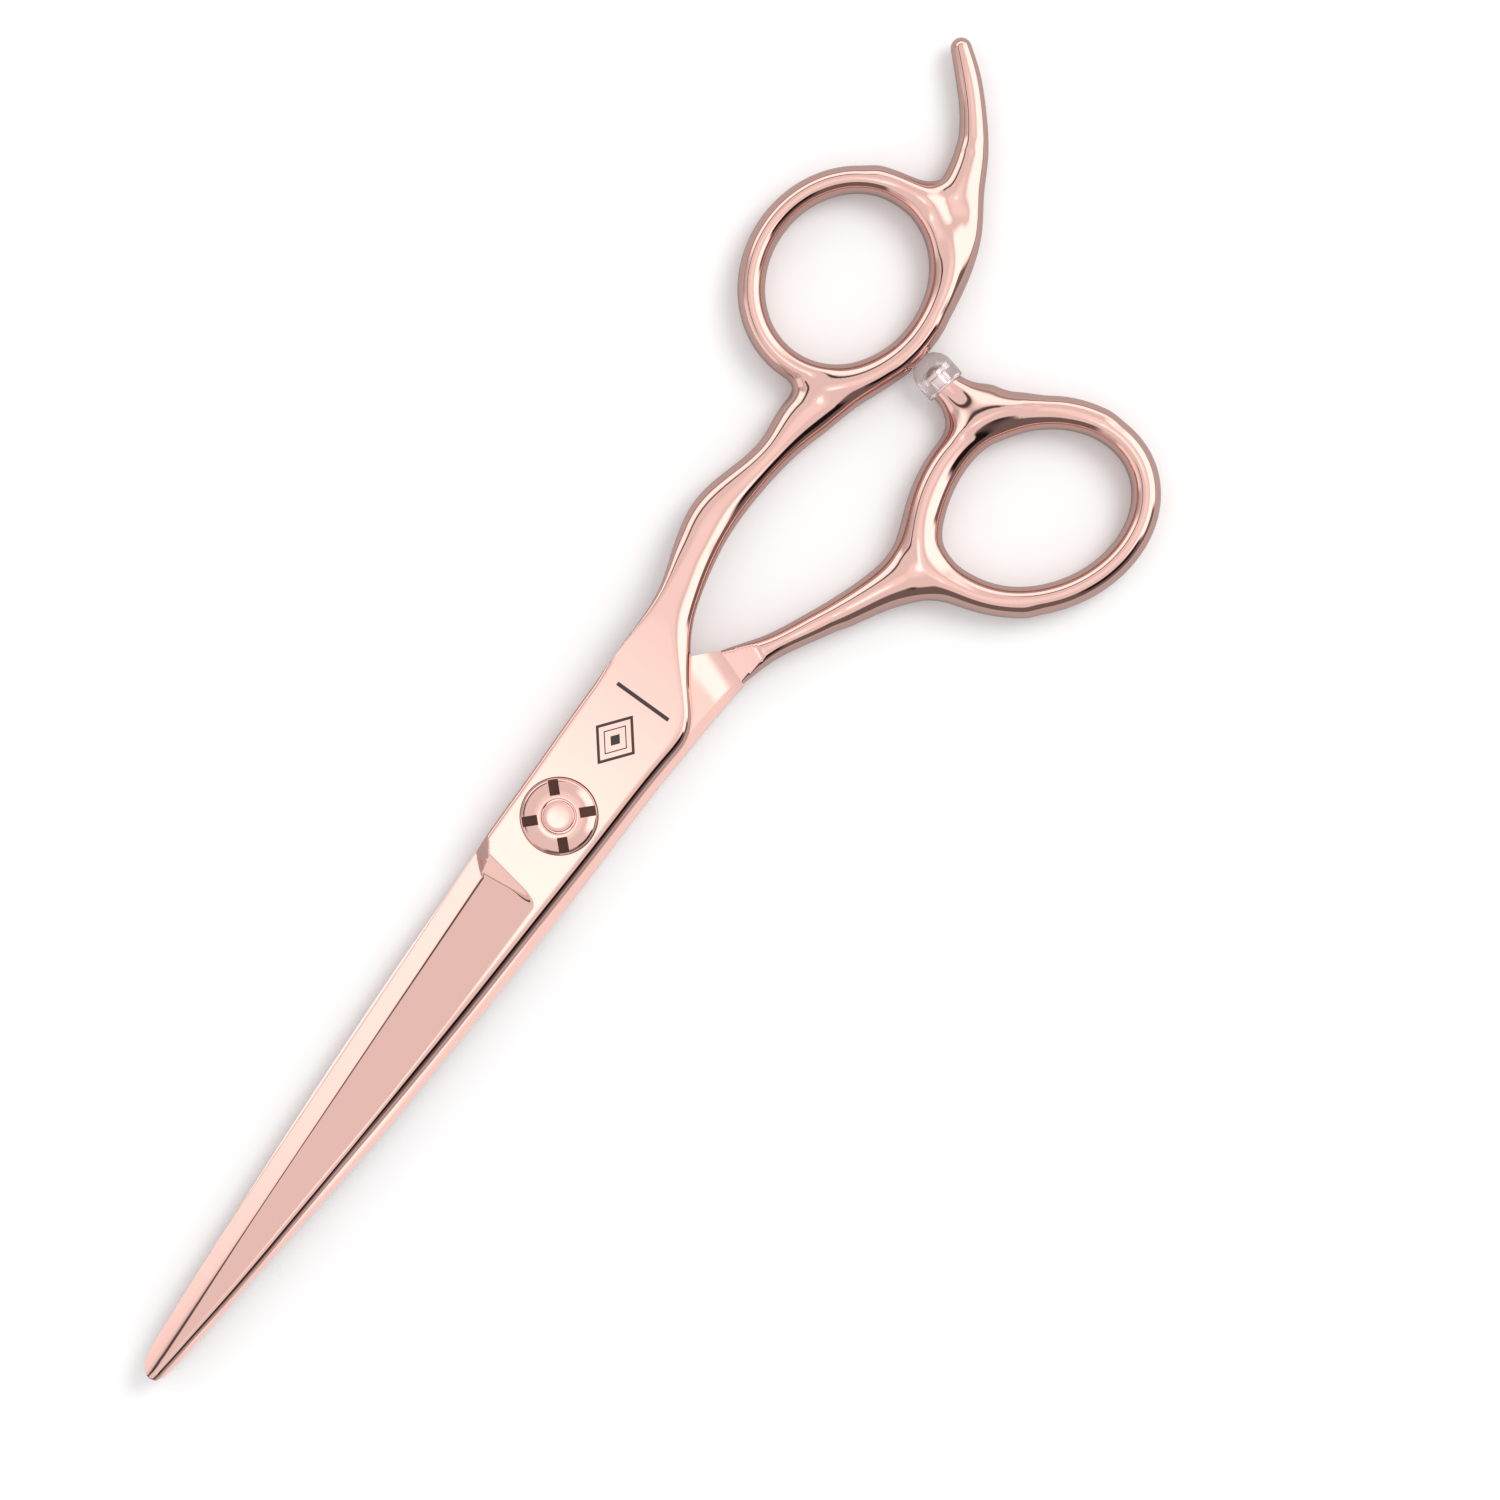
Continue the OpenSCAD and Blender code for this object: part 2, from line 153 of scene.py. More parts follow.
# Sections of the finger half's neck, taken square to X:
# x, y low, y of the crest, y high, z low, z of the crest, squareness of the -Y side
NECK = [
    [-36.0, -8.3, -5.5, -2.8, 1.2, 5.7, 2.5],
    [-31.0, -7.15, -4.8, -2.2, 2.2, 5.9, 2.5],
    [-28.5, -6.3, -4.3, -1.6, 2.65, 5.97, 3.2],
    [-26.0, -5.6, -3.9, -0.8, 2.9, 6.0, 4.5],
    [-24.0, -5.35, -2.9, 0.2, 3.0, 6.03, 7.0],
    [-22.0, -5.3, -1.6, 1.55, 3.05, 6.1, 10.0],
    [-20.0, -5.3, 0.1, 3.0, 3.05, 6.2, 12.0],
    [-18.0, -5.3, 1.6, 4.65, 3.05, 6.3, 14.0],
    [-16.0, -5.3, 3.3, 5.95, 3.05, 6.35, 14.0],
    [-14.0, -5.3, 4.8, 6.4, 3.05, 6.4, 14.0],
    [-12.0, -5.3, 5.2, 6.3, 3.05, 6.4, 14.0],
]
NECK_SQUARE = 2.3

# Plan outlines of the blades: x, y of the cutting-edge side, y of the spine side
FINGER_OUTLINE = [
    [-26.0, -5.6, -0.8], [-24.0, -5.35, 0.2], [-22.0, -5.3, 1.55], [-20.0, -5.3, 3.0],
    [-18.0, -5.3, 4.65], [-16.0, -5.3, 5.95], [-14.0, -5.25, 6.4], [-12.0, -5.25, 6.3],
    [0.0, -5.15, 5.75], [7.5, -5.1, 5.42], [10.0, -5.0, 5.3], [20.0, -4.8, 4.85],
    [30.0, -4.5, 4.3], [40.0, -4.1, 3.6], [50.0, -3.6, 2.8], [60.0, -3.05, 2.0],
    [65.0, -2.75, 1.5], [70.0, -2.4, 0.95], [73.0, -2.15, 0.62], [73.9, -1.95, 0.52],
    [74.5, -1.6, 0.46], [74.9, -1.15, 0.38], [75.1, -0.75, 0.22], [75.2, -0.3, -0.1],
]
THUMB_OUTLINE = [
    [-26.5, -8.25, -5.5], [-24.6, -8.1, -3.65], [-22.3, -7.8, -1.4], [-18.5, -7.45, 2.2],
    [-16.5, -7.3, 4.0], [-15.6, -7.25, 4.65], [-14.6, -7.2, 5.1], [-13.0, -7.1, 5.3],
    [-10.0, -6.9, 5.33], [0.0, -6.6, 5.2], [8.3, -6.35, 5.08], [20.0, -5.8, 4.65],
    [30.0, -5.2, 4.2], [40.0, -4.5, 3.8], [50.0, -3.5, 3.3], [60.0, -2.4, 2.6],
    [68.0, -1.62, 2.05], [72.0, -1.15, 1.72], [74.0, -0.85, 1.5], [74.7, -0.6, 1.25],
    [75.0, -0.2, 1.0], [75.15, 0.25, 0.7],
]


# ---- Small numeric helpers ----------------------------------------------------------------

def smoothstep(a, b, x):
    """0 before a, 1 after b, smooth between them."""
    t = np.clip((x - a) / (b - a), 0.0, 1.0)
    return t * t * (3 - 2 * t)


def soft_min(a, b, k):
    """Smaller of a and b, rounded where they are within k of each other."""
    h = np.clip(k - np.abs(a - b), 0.0, None) / k
    return np.minimum(a, b) - h * h * k / 4


def soft_max(a, b, k):
    """Larger of a and b, rounded where they are within k of each other."""
    return -soft_min(-a, -b, k)


def line_y(x, x0, y0, x1, y1):
    """Value at x of the straight line through two points."""
    return y0 + (y1 - y0) * (x - x0) / (x1 - x0)


class Spline:
    """Natural cubic spline through rows, along their plan length or another given parameter."""

    def __init__(self, rows, along=None):
        self.rows = np.array(rows, float)
        steps = np.linalg.norm(np.diff(self.rows[:, :2], axis=0), axis=1)
        self.u = np.concatenate([[0], np.cumsum(steps)]) if along is None else np.array(along, float)
        n = len(self.u)
        h = np.diff(self.u)
        a = np.eye(n)
        b = np.zeros_like(self.rows)
        for i in range(1, n - 1):
            a[i, i - 1], a[i, i], a[i, i + 1] = h[i - 1], 2 * (h[i - 1] + h[i]), h[i]
            right = (self.rows[i + 1] - self.rows[i]) / h[i]
            b[i] = 6 * (right - (self.rows[i] - self.rows[i - 1]) / h[i - 1])
        self.bend = np.linalg.solve(a, b)
        self.first, self.last = self.u[0], self.u[-1]
        self.closed = False

    def at(self, u, order=0):
        """Row at u, or its first or second derivative."""
        u = np.clip(u, self.first, self.last)
        i = np.clip(np.searchsorted(self.u, u, side="right") - 1, 0, len(self.u) - 2)
        h = (self.u[i + 1] - self.u[i])[:, None]
        s, t = (u - self.u[i])[:, None], (self.u[i + 1] - u)[:, None]
        p, q, m, n = self.rows[i], self.rows[i + 1], self.bend[i], self.bend[i + 1]
        if order == 0:
            lift = (m * t ** 3 + n * s ** 3) / (6 * h)
            return lift + (p / h - m * h / 6) * t + (q / h - n * h / 6) * s
        if order == 1:
            lift = (n * s ** 2 - m * t ** 2) / (2 * h)
            return lift + (q - p) / h - (n - m) * h / 6
        return (m * t + n * s) / h


class Oval:
    """Ellipse in plan with a constant tube, in the same form as Spline."""

    def __init__(self, centre, radii, angle, half_width, z_low, z_high, square):
        self.c, self.r = np.array(centre), radii
        a = math.radians(angle)
        self.turn = np.array([[math.cos(a), -math.sin(a)], [math.sin(a), math.cos(a)]])
        self.rest = [half_width, z_low, z_high, square]
        self.first, self.last, self.closed = 0.0, 2 * math.pi, True

    def fillet(self, x, y, k):
        """Fillet size for what joins this ring: k outside it, small in its hole."""
        local = (np.stack([x, y], 1) - self.c) @ self.turn
        reach = np.hypot(local[:, 0] / self.r[0], local[:, 1] / self.r[1])
        return HOLE_FILLET + (k - HOLE_FILLET) * smoothstep(0.9, 1.15, reach)[:, None]

    def at(self, u, order=0):
        a = u + order * math.pi / 2
        plan = np.stack([self.r[0] * np.cos(a), self.r[1] * np.sin(a)], 1) @ self.turn.T
        if order:
            return plan
        rest = np.tile(self.rest, (len(u), 1))
        return np.hstack([plan + self.c, rest])


# Places along a path where the search for the nearest one starts
STARTS = 160


def nearest(path, x, y):
    """Plan distance from each point to the path, and the path's row there."""
    start = np.linspace(path.first, path.last, STARTS + 1)
    knots = path.at(start)[:, :2]
    gap = (x[:, None] - knots[None, :, 0]) ** 2 + (y[:, None] - knots[None, :, 1]) ** 2
    u = start[np.argmin(gap, axis=1)]
    reach = (path.last - path.first) / STARTS
    p = np.stack([x, y], 1)
    for _ in range(4):
        off = path.at(u)[:, :2] - p
        d1, d2 = path.at(u, 1)[:, :2], path.at(u, 2)[:, :2]
        slope = np.sum(off * d1, 1)
        curve = np.sum(d1 * d1, 1) + np.sum(off * d2, 1)
        step = slope / np.where(curve > 1e-6, curve, 1e6)
        u = u - np.clip(step, -reach, reach)
        if not path.closed:
            u = np.clip(u, path.first, path.last)
    row = path.at(u)
    return np.linalg.norm(row[:, :2] - p, axis=1), row


def section_value(side, z, half_w, z_low, z_high, square):
    """Distance-like value of a superellipse section: negative inside, 0 on its surface."""
    zh = (z_high - z_low) / 2
    v = np.abs(z - (z_high + z_low) / 2) / zh
    s = np.abs(side) / half_w
    total = s ** square + v ** square + 1e-9
    value = total ** (1 / square)
    scale = total ** (1 / square - 1)
    slope = scale * np.hypot(s ** (square - 1) / half_w, v ** (square - 1) / zh)
    return np.maximum((value - 1) / np.maximum(slope, 1e-4), -np.minimum(half_w, zh))


def bar_value(path, x, y, z):
    """Field of a bar swept along a path. z may have several levels for each plan point."""
    far, row = nearest(path, x, y)
    w, low, high, square = (row[:, i][:, None] for i in (2, 3, 4, 5))
    return section_value(far[:, None], z, w, low, high, square)


# ---- Fields of the two handles ------------------------------------------------------------

# Both handles lie on the table and are flattened there, with a soft edge
REST_LEVEL = 0.02
REST_SOFT = 0.5
# Softness of the edge where a handle's crest is ground flat
GROUND_SOFT = 0.05

# Fillets where the bars of the handles join, and in the ring holes
ROOT_FILLET = 1.8
SHANK_FILLET = 2.2
TANG_FILLET = 2.4
THUMB_SHANK_FILLET = 2.4
SHOULDER_FILLET = 2.0
BOSS_FILLET = 3.0
HOLE_FILLET = 0.9

# X where the finger half's neck starts to turn into its shank, and where it has done so
NECK_END = (-30.5, -35.0)

shank_path = Spline(FINGER_SHANK)
tang_path = Spline(TANG)
tang_root_path = Spline(TANG_ROOT)
neck_rows = Spline(NECK[::-1], along=[-row[0] for row in NECK[::-1]])
thumb_shank_path = Spline(THUMB_SHANK)
thumb_shoulder_path = Spline(THUMB_SHOULDER)
thumb_boss_path = Spline(THUMB_BOSS)
finger_oval = Oval(**FINGER_RING, z_low=0.0, z_high=RING_TOP, square=2.2)
thumb_oval = Oval(**THUMB_RING, z_low=0.0, z_high=RING_TOP, square=2.2)


def neck_section(x, y):
    """The neck's section at plan points: offset from the crest, half width, levels, squareness."""
    row = neck_rows.at(-np.clip(x.ravel(), NECK[0][0], NECK[-1][0]))
    y_low, y_mid, y_high, low, crest, square = (row[:, i].reshape(x.shape) for i in range(1, 7))
    side = y - y_mid
    half = np.where(side < 0, y_mid - y_low, y_high - y_mid)
    power = np.where(side < 0, square, NECK_SQUARE)
    return side, half, low, crest, power


def neck_value(x, y, z):
    """Field of the finger half's neck, from sections square to X."""
    side, half, low, crest, power = (part[:, None] for part in neck_section(x, y))
    return section_value(side, z, half, low, crest, power)


def neck_heights(x, y):
    """Upper and lower surface of the finger half's neck at plan points."""
    side, half, low, crest, power = neck_section(x, y)
    reach = np.clip(np.abs(side) / half, 0, 1)
    zh, zm = (crest - low) / 2, (crest + low) / 2
    rise = zh * (1 - reach ** power) ** (1 / power)
    return soft_min(zm + rise, FINGER_TOP, 0.05), np.maximum(zm - rise, low)


def finger_field(x, y, z):
    """Field of the finger half's neck, shank, ring and tang."""
    far_side = smoothstep(*NECK_END, x)[:, None]
    shank = np.full(np.broadcast(x[:, None], z).shape, 50.0)
    near = x < NECK_END[0] + 0.5
    if near.any():
        zz = z if z.shape[0] == 1 else z[near]
        shank[near] = bar_value(shank_path, x[near], y[near], zz)
    neck = neck_value(x, y, z)
    body = np.where(far_side <= 0, neck, np.where(far_side >= 1, shank, 0))
    mix = (far_side > 0) & (far_side < 1)
    body = np.where(mix, neck * (1 - far_side) + shank * far_side, body)
    ring = bar_value(finger_oval, x, y, z)
    tang = bar_value(tang_path, x, y, z)
    tang = soft_min(tang, bar_value(tang_root_path, x, y, z), ROOT_FILLET)
    body = soft_min(body, ring, finger_oval.fillet(x, y, SHANK_FILLET))
    total = soft_min(body, tang, finger_oval.fillet(x, y, TANG_FILLET))
    return soft_max(soft_max(total, z - FINGER_TOP, GROUND_SOFT), REST_LEVEL - z, REST_SOFT)


def thumb_field(x, y, z):
    """Field of the thumb half's shank, ring, shoulder and boss."""
    shank = bar_value(thumb_shank_path, x, y, z)
    ring = bar_value(thumb_oval, x, y, z)
    shoulder = bar_value(thumb_shoulder_path, x, y, z)
    boss = bar_value(thumb_boss_path, x, y, z)
    fillet = thumb_oval.fillet(x, y, THUMB_SHANK_FILLET)
    total = soft_min(soft_min(shank, shoulder, SHOULDER_FILLET), ring, fillet)
    total = soft_min(total, boss, thumb_oval.fillet(x, y, BOSS_FILLET))
    # Flat ground on the top of the shank's end only
    away = np.hypot(x - THUMB_WELD[0], y - THUMB_WELD[1])[:, None]
    flat = RING_TOP + 1.5 * smoothstep(3.2, 6.0, away)
    return soft_max(soft_max(total, z - flat, GROUND_SOFT), REST_LEVEL - z, REST_SOFT)


def gradient(field, p, step=0.02):
    """Unit direction in which the field grows fastest, at each point, and its slope."""
    x, y, z = p[:, 0], p[:, 1], p[:, 2:3]
    gx = field(x + step, y, z) - field(x - step, y, z)
    gy = field(x, y + step, z) - field(x, y - step, z)
    gz = field(x, y, z + step) - field(x, y, z - step)
    g = np.hstack([gx, gy, gz]) / (2 * step)
    size = np.linalg.norm(g, axis=1, keepdims=True)
    return g / np.maximum(size, 1e-6), size


def surface_net(field, low, high, cell):
    """Closed quad mesh of the field's zero surface, moved exactly onto that surface."""
    axes = [np.arange(low[i] - 2 * cell, high[i] + 3 * cell, cell) for i in range(3)]
    nx, ny, nz = (len(a) for a in axes)
    gx, gy = np.meshgrid(axes[0], axes[1], indexing="ij")
    value = field(gx.ravel(), gy.ravel(), axes[2][None, :]).reshape(nx, ny, nz)
    inside = value < 0
    shape = (nx - 1, ny - 1, nz - 1)
    corner = [(i, j, k) for i in (0, 1) for j in (0, 1) for k in (0, 1)]

    def at_corner(array, c):
        return array[c[0]:c[0] + shape[0], c[1]:c[1] + shape[1], c[2]:c[2] + shape[2]]

    count = sum(at_corner(inside, c).astype(int) for c in corner)
    mixed = (count > 0) & (count < 8)
    index = np.full(shape, -1)
    index[mixed] = np.arange(mixed.sum())
    total, hits = np.zeros((mixed.sum(), 3)), np.zeros(mixed.sum())
    for a in corner:
        for axis in range(3):
            if a[axis]:
                continue
            b = tuple(1 if i == axis else a[i] for i in range(3))
            va, vb = at_corner(value, a)[mixed], at_corner(value, b)[mixed]
            crosses = (va < 0) != (vb < 0)
            t = np.where(crosses, va / np.where(crosses, va - vb, 1), 0)
            spot = np.array(a, float)[None, :] + t[:, None] * np.eye(3)[axis]
            total += spot * crosses[:, None]
            hits += crosses
    cells = np.argwhere(mixed)
    origin = np.array([a[0] for a in axes])
    verts = origin + (cells + total / hits[:, None]) * cell
    faces = []
    for axis in range(3):
        u, v = (axis + 1) % 3, (axis + 2) % 3
        cut = [slice(1, -1)] * 3
        cut[axis] = slice(0, -1)
        ahead = list(cut)
        ahead[axis] = slice(1, None)
        here, there = inside[tuple(cut)], inside[tuple(ahead)]
        for flip in (False, True):
            at = np.argwhere(here & ~there if flip else ~here & there)
            base = at.copy()
            base[:, u] += 1
            base[:, v] += 1
            quad = []
            for du, dv in ((0, 0), (1, 0), (1, 1), (0, 1)):
                c = base.copy()
                c[:, u] -= du
                c[:, v] -= dv
                quad.append(index[c[:, 0], c[:, 1], c[:, 2]])
            quad = np.stack(quad, 1)
            faces.append(quad if flip else quad[:, ::-1])
    faces = np.vstack(faces)
    for _ in range(3):
        normal, slope = gradient(field, verts)
        off = field(verts[:, 0], verts[:, 1], verts[:, 2:3])
        verts = verts - normal * np.clip(off / np.maximum(slope, 0.2), -cell / 2, cell / 2)
    return verts, faces


# ---- Making mesh objects ------------------------------------------------------------------

def new_mesh(name, verts, faces):
    """Smooth mesh object from millimetre vertices."""
    mesh = bpy.data.meshes.new(name)
    mesh.from_pydata((np.asarray(verts) * MM).tolist(), [], [list(map(int, f)) for f in faces])
    mesh.validate()
    obj = bpy.data.objects.new(name, mesh)
    bpy.context.scene.collection.objects.link(obj)
    mesh.shade_smooth()
    return obj


@contextmanager
def editing(obj):
    """Opens an object's mesh for changes, then turns all its faces outwards."""
    bm = bmesh.new()
    bm.from_mesh(obj.data)
    yield bm
    bmesh.ops.recalc_face_normals(bm, faces=bm.faces)
    bm.to_mesh(obj.data)
    bm.free()


def clean(obj, merge=0.002):
    """Merges doubled vertices and drops empty faces."""
    with editing(obj) as bm:
        bmesh.ops.remove_doubles(bm, verts=bm.verts, dist=merge * MM)
        bmesh.ops.dissolve_degenerate(bm, edges=bm.edges, dist=0.0005 * MM)


def cut_flat(obj, point, normal):
    """Cuts away what lies on the normal's side of a plane, and closes the cut."""
    with editing(obj) as bm:
        done = bmesh.ops.bisect_plane(
            bm, geom=[*bm.verts, *bm.edges, *bm.faces], dist=1e-7, clear_outer=True,
            plane_co=Vector(point) * MM, plane_no=Vector(normal),
        )
        edges = [e for e in done["geom_cut"] if isinstance(e, bmesh.types.BMEdge)]
        bmesh.ops.holes_fill(bm, edges=edges)


def read(items, key, shape=(-1, 3), kind=float):
    """One attribute of all vertices, corners or faces of a mesh."""
    values = np.zeros(len(items) * max(shape[-1], 1), kind)
    items.foreach_get(key, values)
    return values.reshape(shape)


def field_normals(obj, field, flat_planes):
    """Gives each corner the field's own normal. Corners of faces in a cut plane stay flat."""
    mesh = obj.data
    normal, _ = gradient(field, read(mesh.vertices, "co") / MM)
    face_no = read(mesh.polygons, "normal")
    centre = read(mesh.polygons, "center") / MM
    flat = np.zeros(len(mesh.polygons), bool)
    for point, direction in flat_planes:
        d = np.array(direction, float)
        near = np.abs((centre - np.array(point)) @ d) < 0.01
        flat |= near & (np.abs(face_no @ d) > 0.99)
    loop_vert = read(mesh.loops, "vertex_index", (-1,), int)
    corners = read(mesh.polygons, "loop_total", (-1,), int)
    loop_face = np.repeat(np.arange(len(mesh.polygons)), corners)
    loops = np.where(flat[loop_face][:, None], face_no[loop_face], normal[loop_vert])
    mesh.normals_split_custom_set(loops.tolist())


def apply_modifiers(obj):
    """Replaces the object's mesh by the result of its modifiers."""
    graph = bpy.context.evaluated_depsgraph_get()
    made = bpy.data.meshes.new_from_object(obj.evaluated_get(graph), depsgraph=graph)
    obj.modifiers.clear()
    obj.data = made


def lathe(name, profile, steps=96):
    """Solid of revolution about +Z from an outline of (radius, z) points, closed at the axis."""
    ring = []
    verts, faces = [], []
    for r, z in profile:
        if r < 1e-6:
            ring.append([len(verts)])
            verts.append((0.0, 0.0, z))
            continue
        ring.append(list(range(len(verts), len(verts) + steps)))
        for i in range(steps):
            a = 2 * math.pi * i / steps
            verts.append((r * math.cos(a), r * math.sin(a), z))
    closed = profile[0][0] > 1e-6
    pairs = list(zip(ring, ring[1:] + ring[:1] if closed else ring[1:]))
    for a, b in pairs:
        for i in range(steps):
            j = (i + 1) % steps
            if len(a) == 1 and len(b) > 1:
                faces.append((a[0], b[i], b[j]))
            elif len(b) == 1 and len(a) > 1:
                faces.append((a[i], b[0], a[j]))
            elif len(a) > 1:
                faces.append((a[i], b[i], b[j], a[j]))
    obj = new_mesh(name, verts, faces)
    clean(obj)
    return obj


def arc(cx, cz, r, a0, a1, n=8):
    """Points of a circular arc in a profile, angles in degrees."""
    turn = [math.radians(a0 + (a1 - a0) * i / n) for i in range(n + 1)]
    return [(cx + r * math.cos(a), cz + r * math.sin(a)) for a in turn]


def cutter(name, r, z0, z1, flats=None, steps=96):
    """Plain cylinder about the pivot axis, with two flats where it is keyed. Used to cut only."""
    a = np.linspace(0, 2 * math.pi, steps, endpoint=False) + 0.01
    x, y = r * np.cos(a), r * np.sin(a)
    if flats:
        y = np.clip(y, -flats, flats)
    verts = [(p, q, z0) for p, q in zip(x, y)] + [(p, q, z1) for p, q in zip(x, y)]
    faces = [tuple(range(steps))[::-1], tuple(range(steps, 2 * steps))]
    faces += [(i, (i + 1) % steps, steps + (i + 1) % steps, steps + i) for i in range(steps)]
    return new_mesh(name, verts, faces)


def subtract(obj, tools):
    """Cuts the tools out of the object and removes them."""
    for tool in tools:
        mod = obj.modifiers.new("cut", "BOOLEAN")
        mod.operation = "DIFFERENCE"
        mod.solver = "EXACT"
        mod.object = tool
    apply_modifiers(obj)
    for tool in tools:
        bpy.data.objects.remove(tool)


def sharpen(obj, angle=32.0, weighted=True):
    """Smooth shading that breaks at sharp edges, with large faces kept flat."""
    mesh = obj.data
    mesh.shade_smooth()
    mesh.set_sharp_from_angle(angle=math.radians(angle))
    if weighted:
        mod = obj.modifiers.new("flats", "WEIGHTED_NORMAL")
        mod.mode = "FACE_AREA"
        mod.keep_sharp = True
        apply_modifiers(obj)


# ---- Blades -------------------------------------------------------------------------------

# Start of the ground part, at the spine
STEP_X = 8.3
# Places in plan. Three are lines, as x and y of two points: where the main facet meets the flat,
# where the strip comes down to the edge, and where the mesh follows the strip's inner border.
# The notch is one point.
FINGER_GRIND = {
    "facet": (STEP_X, 3.5, TIP_X, 2.1),
    "edge": (9.0, -5.0, 60.0, -3.1),
    "strip": (10.0, -3.3, 60.0, -1.1),
    "notch": (8.4, -5.0),
}
THUMB_GRIND = {
    "facet": (STEP_X, 3.3, TIP_X, 1.9),
    "edge": (9.0, -6.35, 60.0, -2.4),
    "strip": (10.0, -4.6, 60.0, -0.7),
    "notch": (8.4, -6.35),
}
# Line of the step between the pivot's flat and the ground part, and how steep the step is
STEP_LINE = (7.5, -5.0, 8.9, 3.3)
STEP_SLOPE = math.tan(math.radians(40))
# Slopes of the notch at the step's edge side, along and across the blade
NOTCH_SLOPES = (1.30, 1.71)
FACET_SLOPE = math.tan(math.radians(14))
EDGE_SLOPE = math.tan(math.radians(31))
SPINE_DROP = 1.1
EDGE_T = 0.1
EDGE_ROUND = 0.45
# Behind this X the mesh's rows keep the places they have there, across the pivot's body
GRIND_START = 9.0
BODY_LOW_Y = -5.05
BODY_WIDTH = 10.3
# Skew of the mesh's sections at the step and at the thumb blade's weld, along X per unit of Y
STEP_SKEW = 0.169
WELD_SKEW = -0.356
HOLLOW = 0.1


def spine_round(x):
    """Radius of a blade's rounded spine, smaller towards the tip."""
    return 1.3 - 0.35 * smoothstep(40.0, 75.0, x)


def flat_level(x):
    """Height of the flat along the spine, which falls towards the tip."""
    return HALF_T - SPINE_DROP * np.clip((x - STEP_X) / (TIP_X - STEP_X), 0, 1.2)


def fall(away, r):
    """How far a quarter round of radius r has fallen at a distance from its edge, as a share of r."""
    inner = np.clip(1 - away / r, 0, 1)
    return 1 - np.sqrt(np.clip(1 - inner ** 2, 0, 1))


def ground_top(x, y, g):
    """Height above the inner face of a ground blade, outer side up, cutting edge at -Y."""
    flat = flat_level(x)
    facet = flat + FACET_SLOPE * (y - line_y(x, *g["facet"]))
    strip = EDGE_T + EDGE_SLOPE * (y - line_y(x, *g["edge"]))
    x0, y0, x1, y1 = STEP_LINE
    lean = (x1 - x0) / (y1 - y0)
    step = HALF_T - STEP_SLOPE * (x - x0 - lean * (y - y0))
    along, across = NOTCH_SLOPES
    x0, y0 = g["notch"]
    notch = EDGE_T - along * (x - x0) + across * (y - y0)
    corner = 0.12 + 0.6 * smoothstep(0.0, 3.0, y)
    main = soft_max(step, facet, corner)
    rim = soft_max(notch, strip, 0.25)
    hone = 0.1 + 0.2 * smoothstep(52.0, 72.0, x)
    return soft_min(soft_min(flat, main, 0.05), rim, hone)


def blade_rows(frac_strip, frac_facet, left, right):
    """Fractions across a blade, close together at its edges and at the facets' borders."""
    tight = 1 - np.cos(np.linspace(0, math.pi / 2, 11))
    a = left * tight / tight[-1]
    b = 1 - right * (tight / tight[-1])[::-1]
    near = np.array([-0.03, -0.012, -0.005, 0.0, 0.005, 0.012, 0.03])
    s, f = frac_strip + near, frac_facet + near
    parts = [a, np.linspace(left, s[0], 6)[1:-1], s, np.linspace(s[-1], f[0], 18)[1:-1], f]
    parts += [np.linspace(f[-1], 1 - right, 8)[1:-1], b]
    return np.concatenate(parts)


def blade_plan(outline, g, finger):
    """Plan points of a blade's mesh: one section after the other, each from edge to spine."""
    table = np.array(outline)
    first, last = table[0, 0], table[-1, 0]
    stations = np.unique(np.round(np.concatenate([
        np.arange(first, 5.0, 0.4), np.arange(5.0, 13.0, 0.1), np.arange(13.0, 73.0, 0.8),
        np.arange(73.0, last, 0.07), [last],
    ]), 4))
    weld_skew = np.zeros_like(stations)
    if not finger:
        stations = stations[stations > THUMB_WELD[0] - 0.01]
        stations = np.concatenate([[THUMB_WELD[0]], stations])
        weld_skew = WELD_SKEW * (1 - smoothstep(THUMB_WELD[0] + 1, THUMB_WELD[0] + 8, stations))
    step_skew = STEP_SKEW * smoothstep(2.0, 7.0, stations) * (1 - smoothstep(13.0, 30.0, stations))
    low_side = Spline(np.stack([table[:, 0], table[:, 1]], 1), along=table[:, 0])
    high_side = Spline(np.stack([table[:, 0], table[:, 2]], 1), along=table[:, 0])
    grid = []
    for s, sk, wk in zip(stations, step_skew, weld_skew):
        def place(y, s=s, sk=sk, wk=wk):
            return s + sk * y + wk * (y + THUMB_WELD[1])

        y_low, y_high = -5.0, 5.0
        for _ in range(25):
            y_low = low_side.at(np.array([place(y_low)]))[0, 1]
            y_high = high_side.at(np.array([place(y_high)]))[0, 1]
        width = y_high - y_low
        at = max(s, GRIND_START)
        base, span = (BODY_LOW_Y, BODY_WIDTH) if s < GRIND_START else (y_low, width)
        strip = (line_y(at, *g["strip"]) - base) / span
        facet = (line_y(at, *g["facet"]) - base) / span
        # Towards the handle the blade's rounded edges take up more of its width
        back = max(-12 - s, 0)
        left = min((EDGE_ROUND + back * 0.06) / width, 0.3)
        right = min((spine_round(s) + back * 0.12) / width, 0.5)
        facet = min(facet, 1 - right - 0.05)
        strip = min(max(strip, left + 0.05), facet - 0.08)
        y = y_low + width * blade_rows(strip, facet, left, right)
        grid.append(np.stack([place(y), y], 1))
    grid = np.array(grid)
    return stations, grid[..., 0], grid[..., 1]


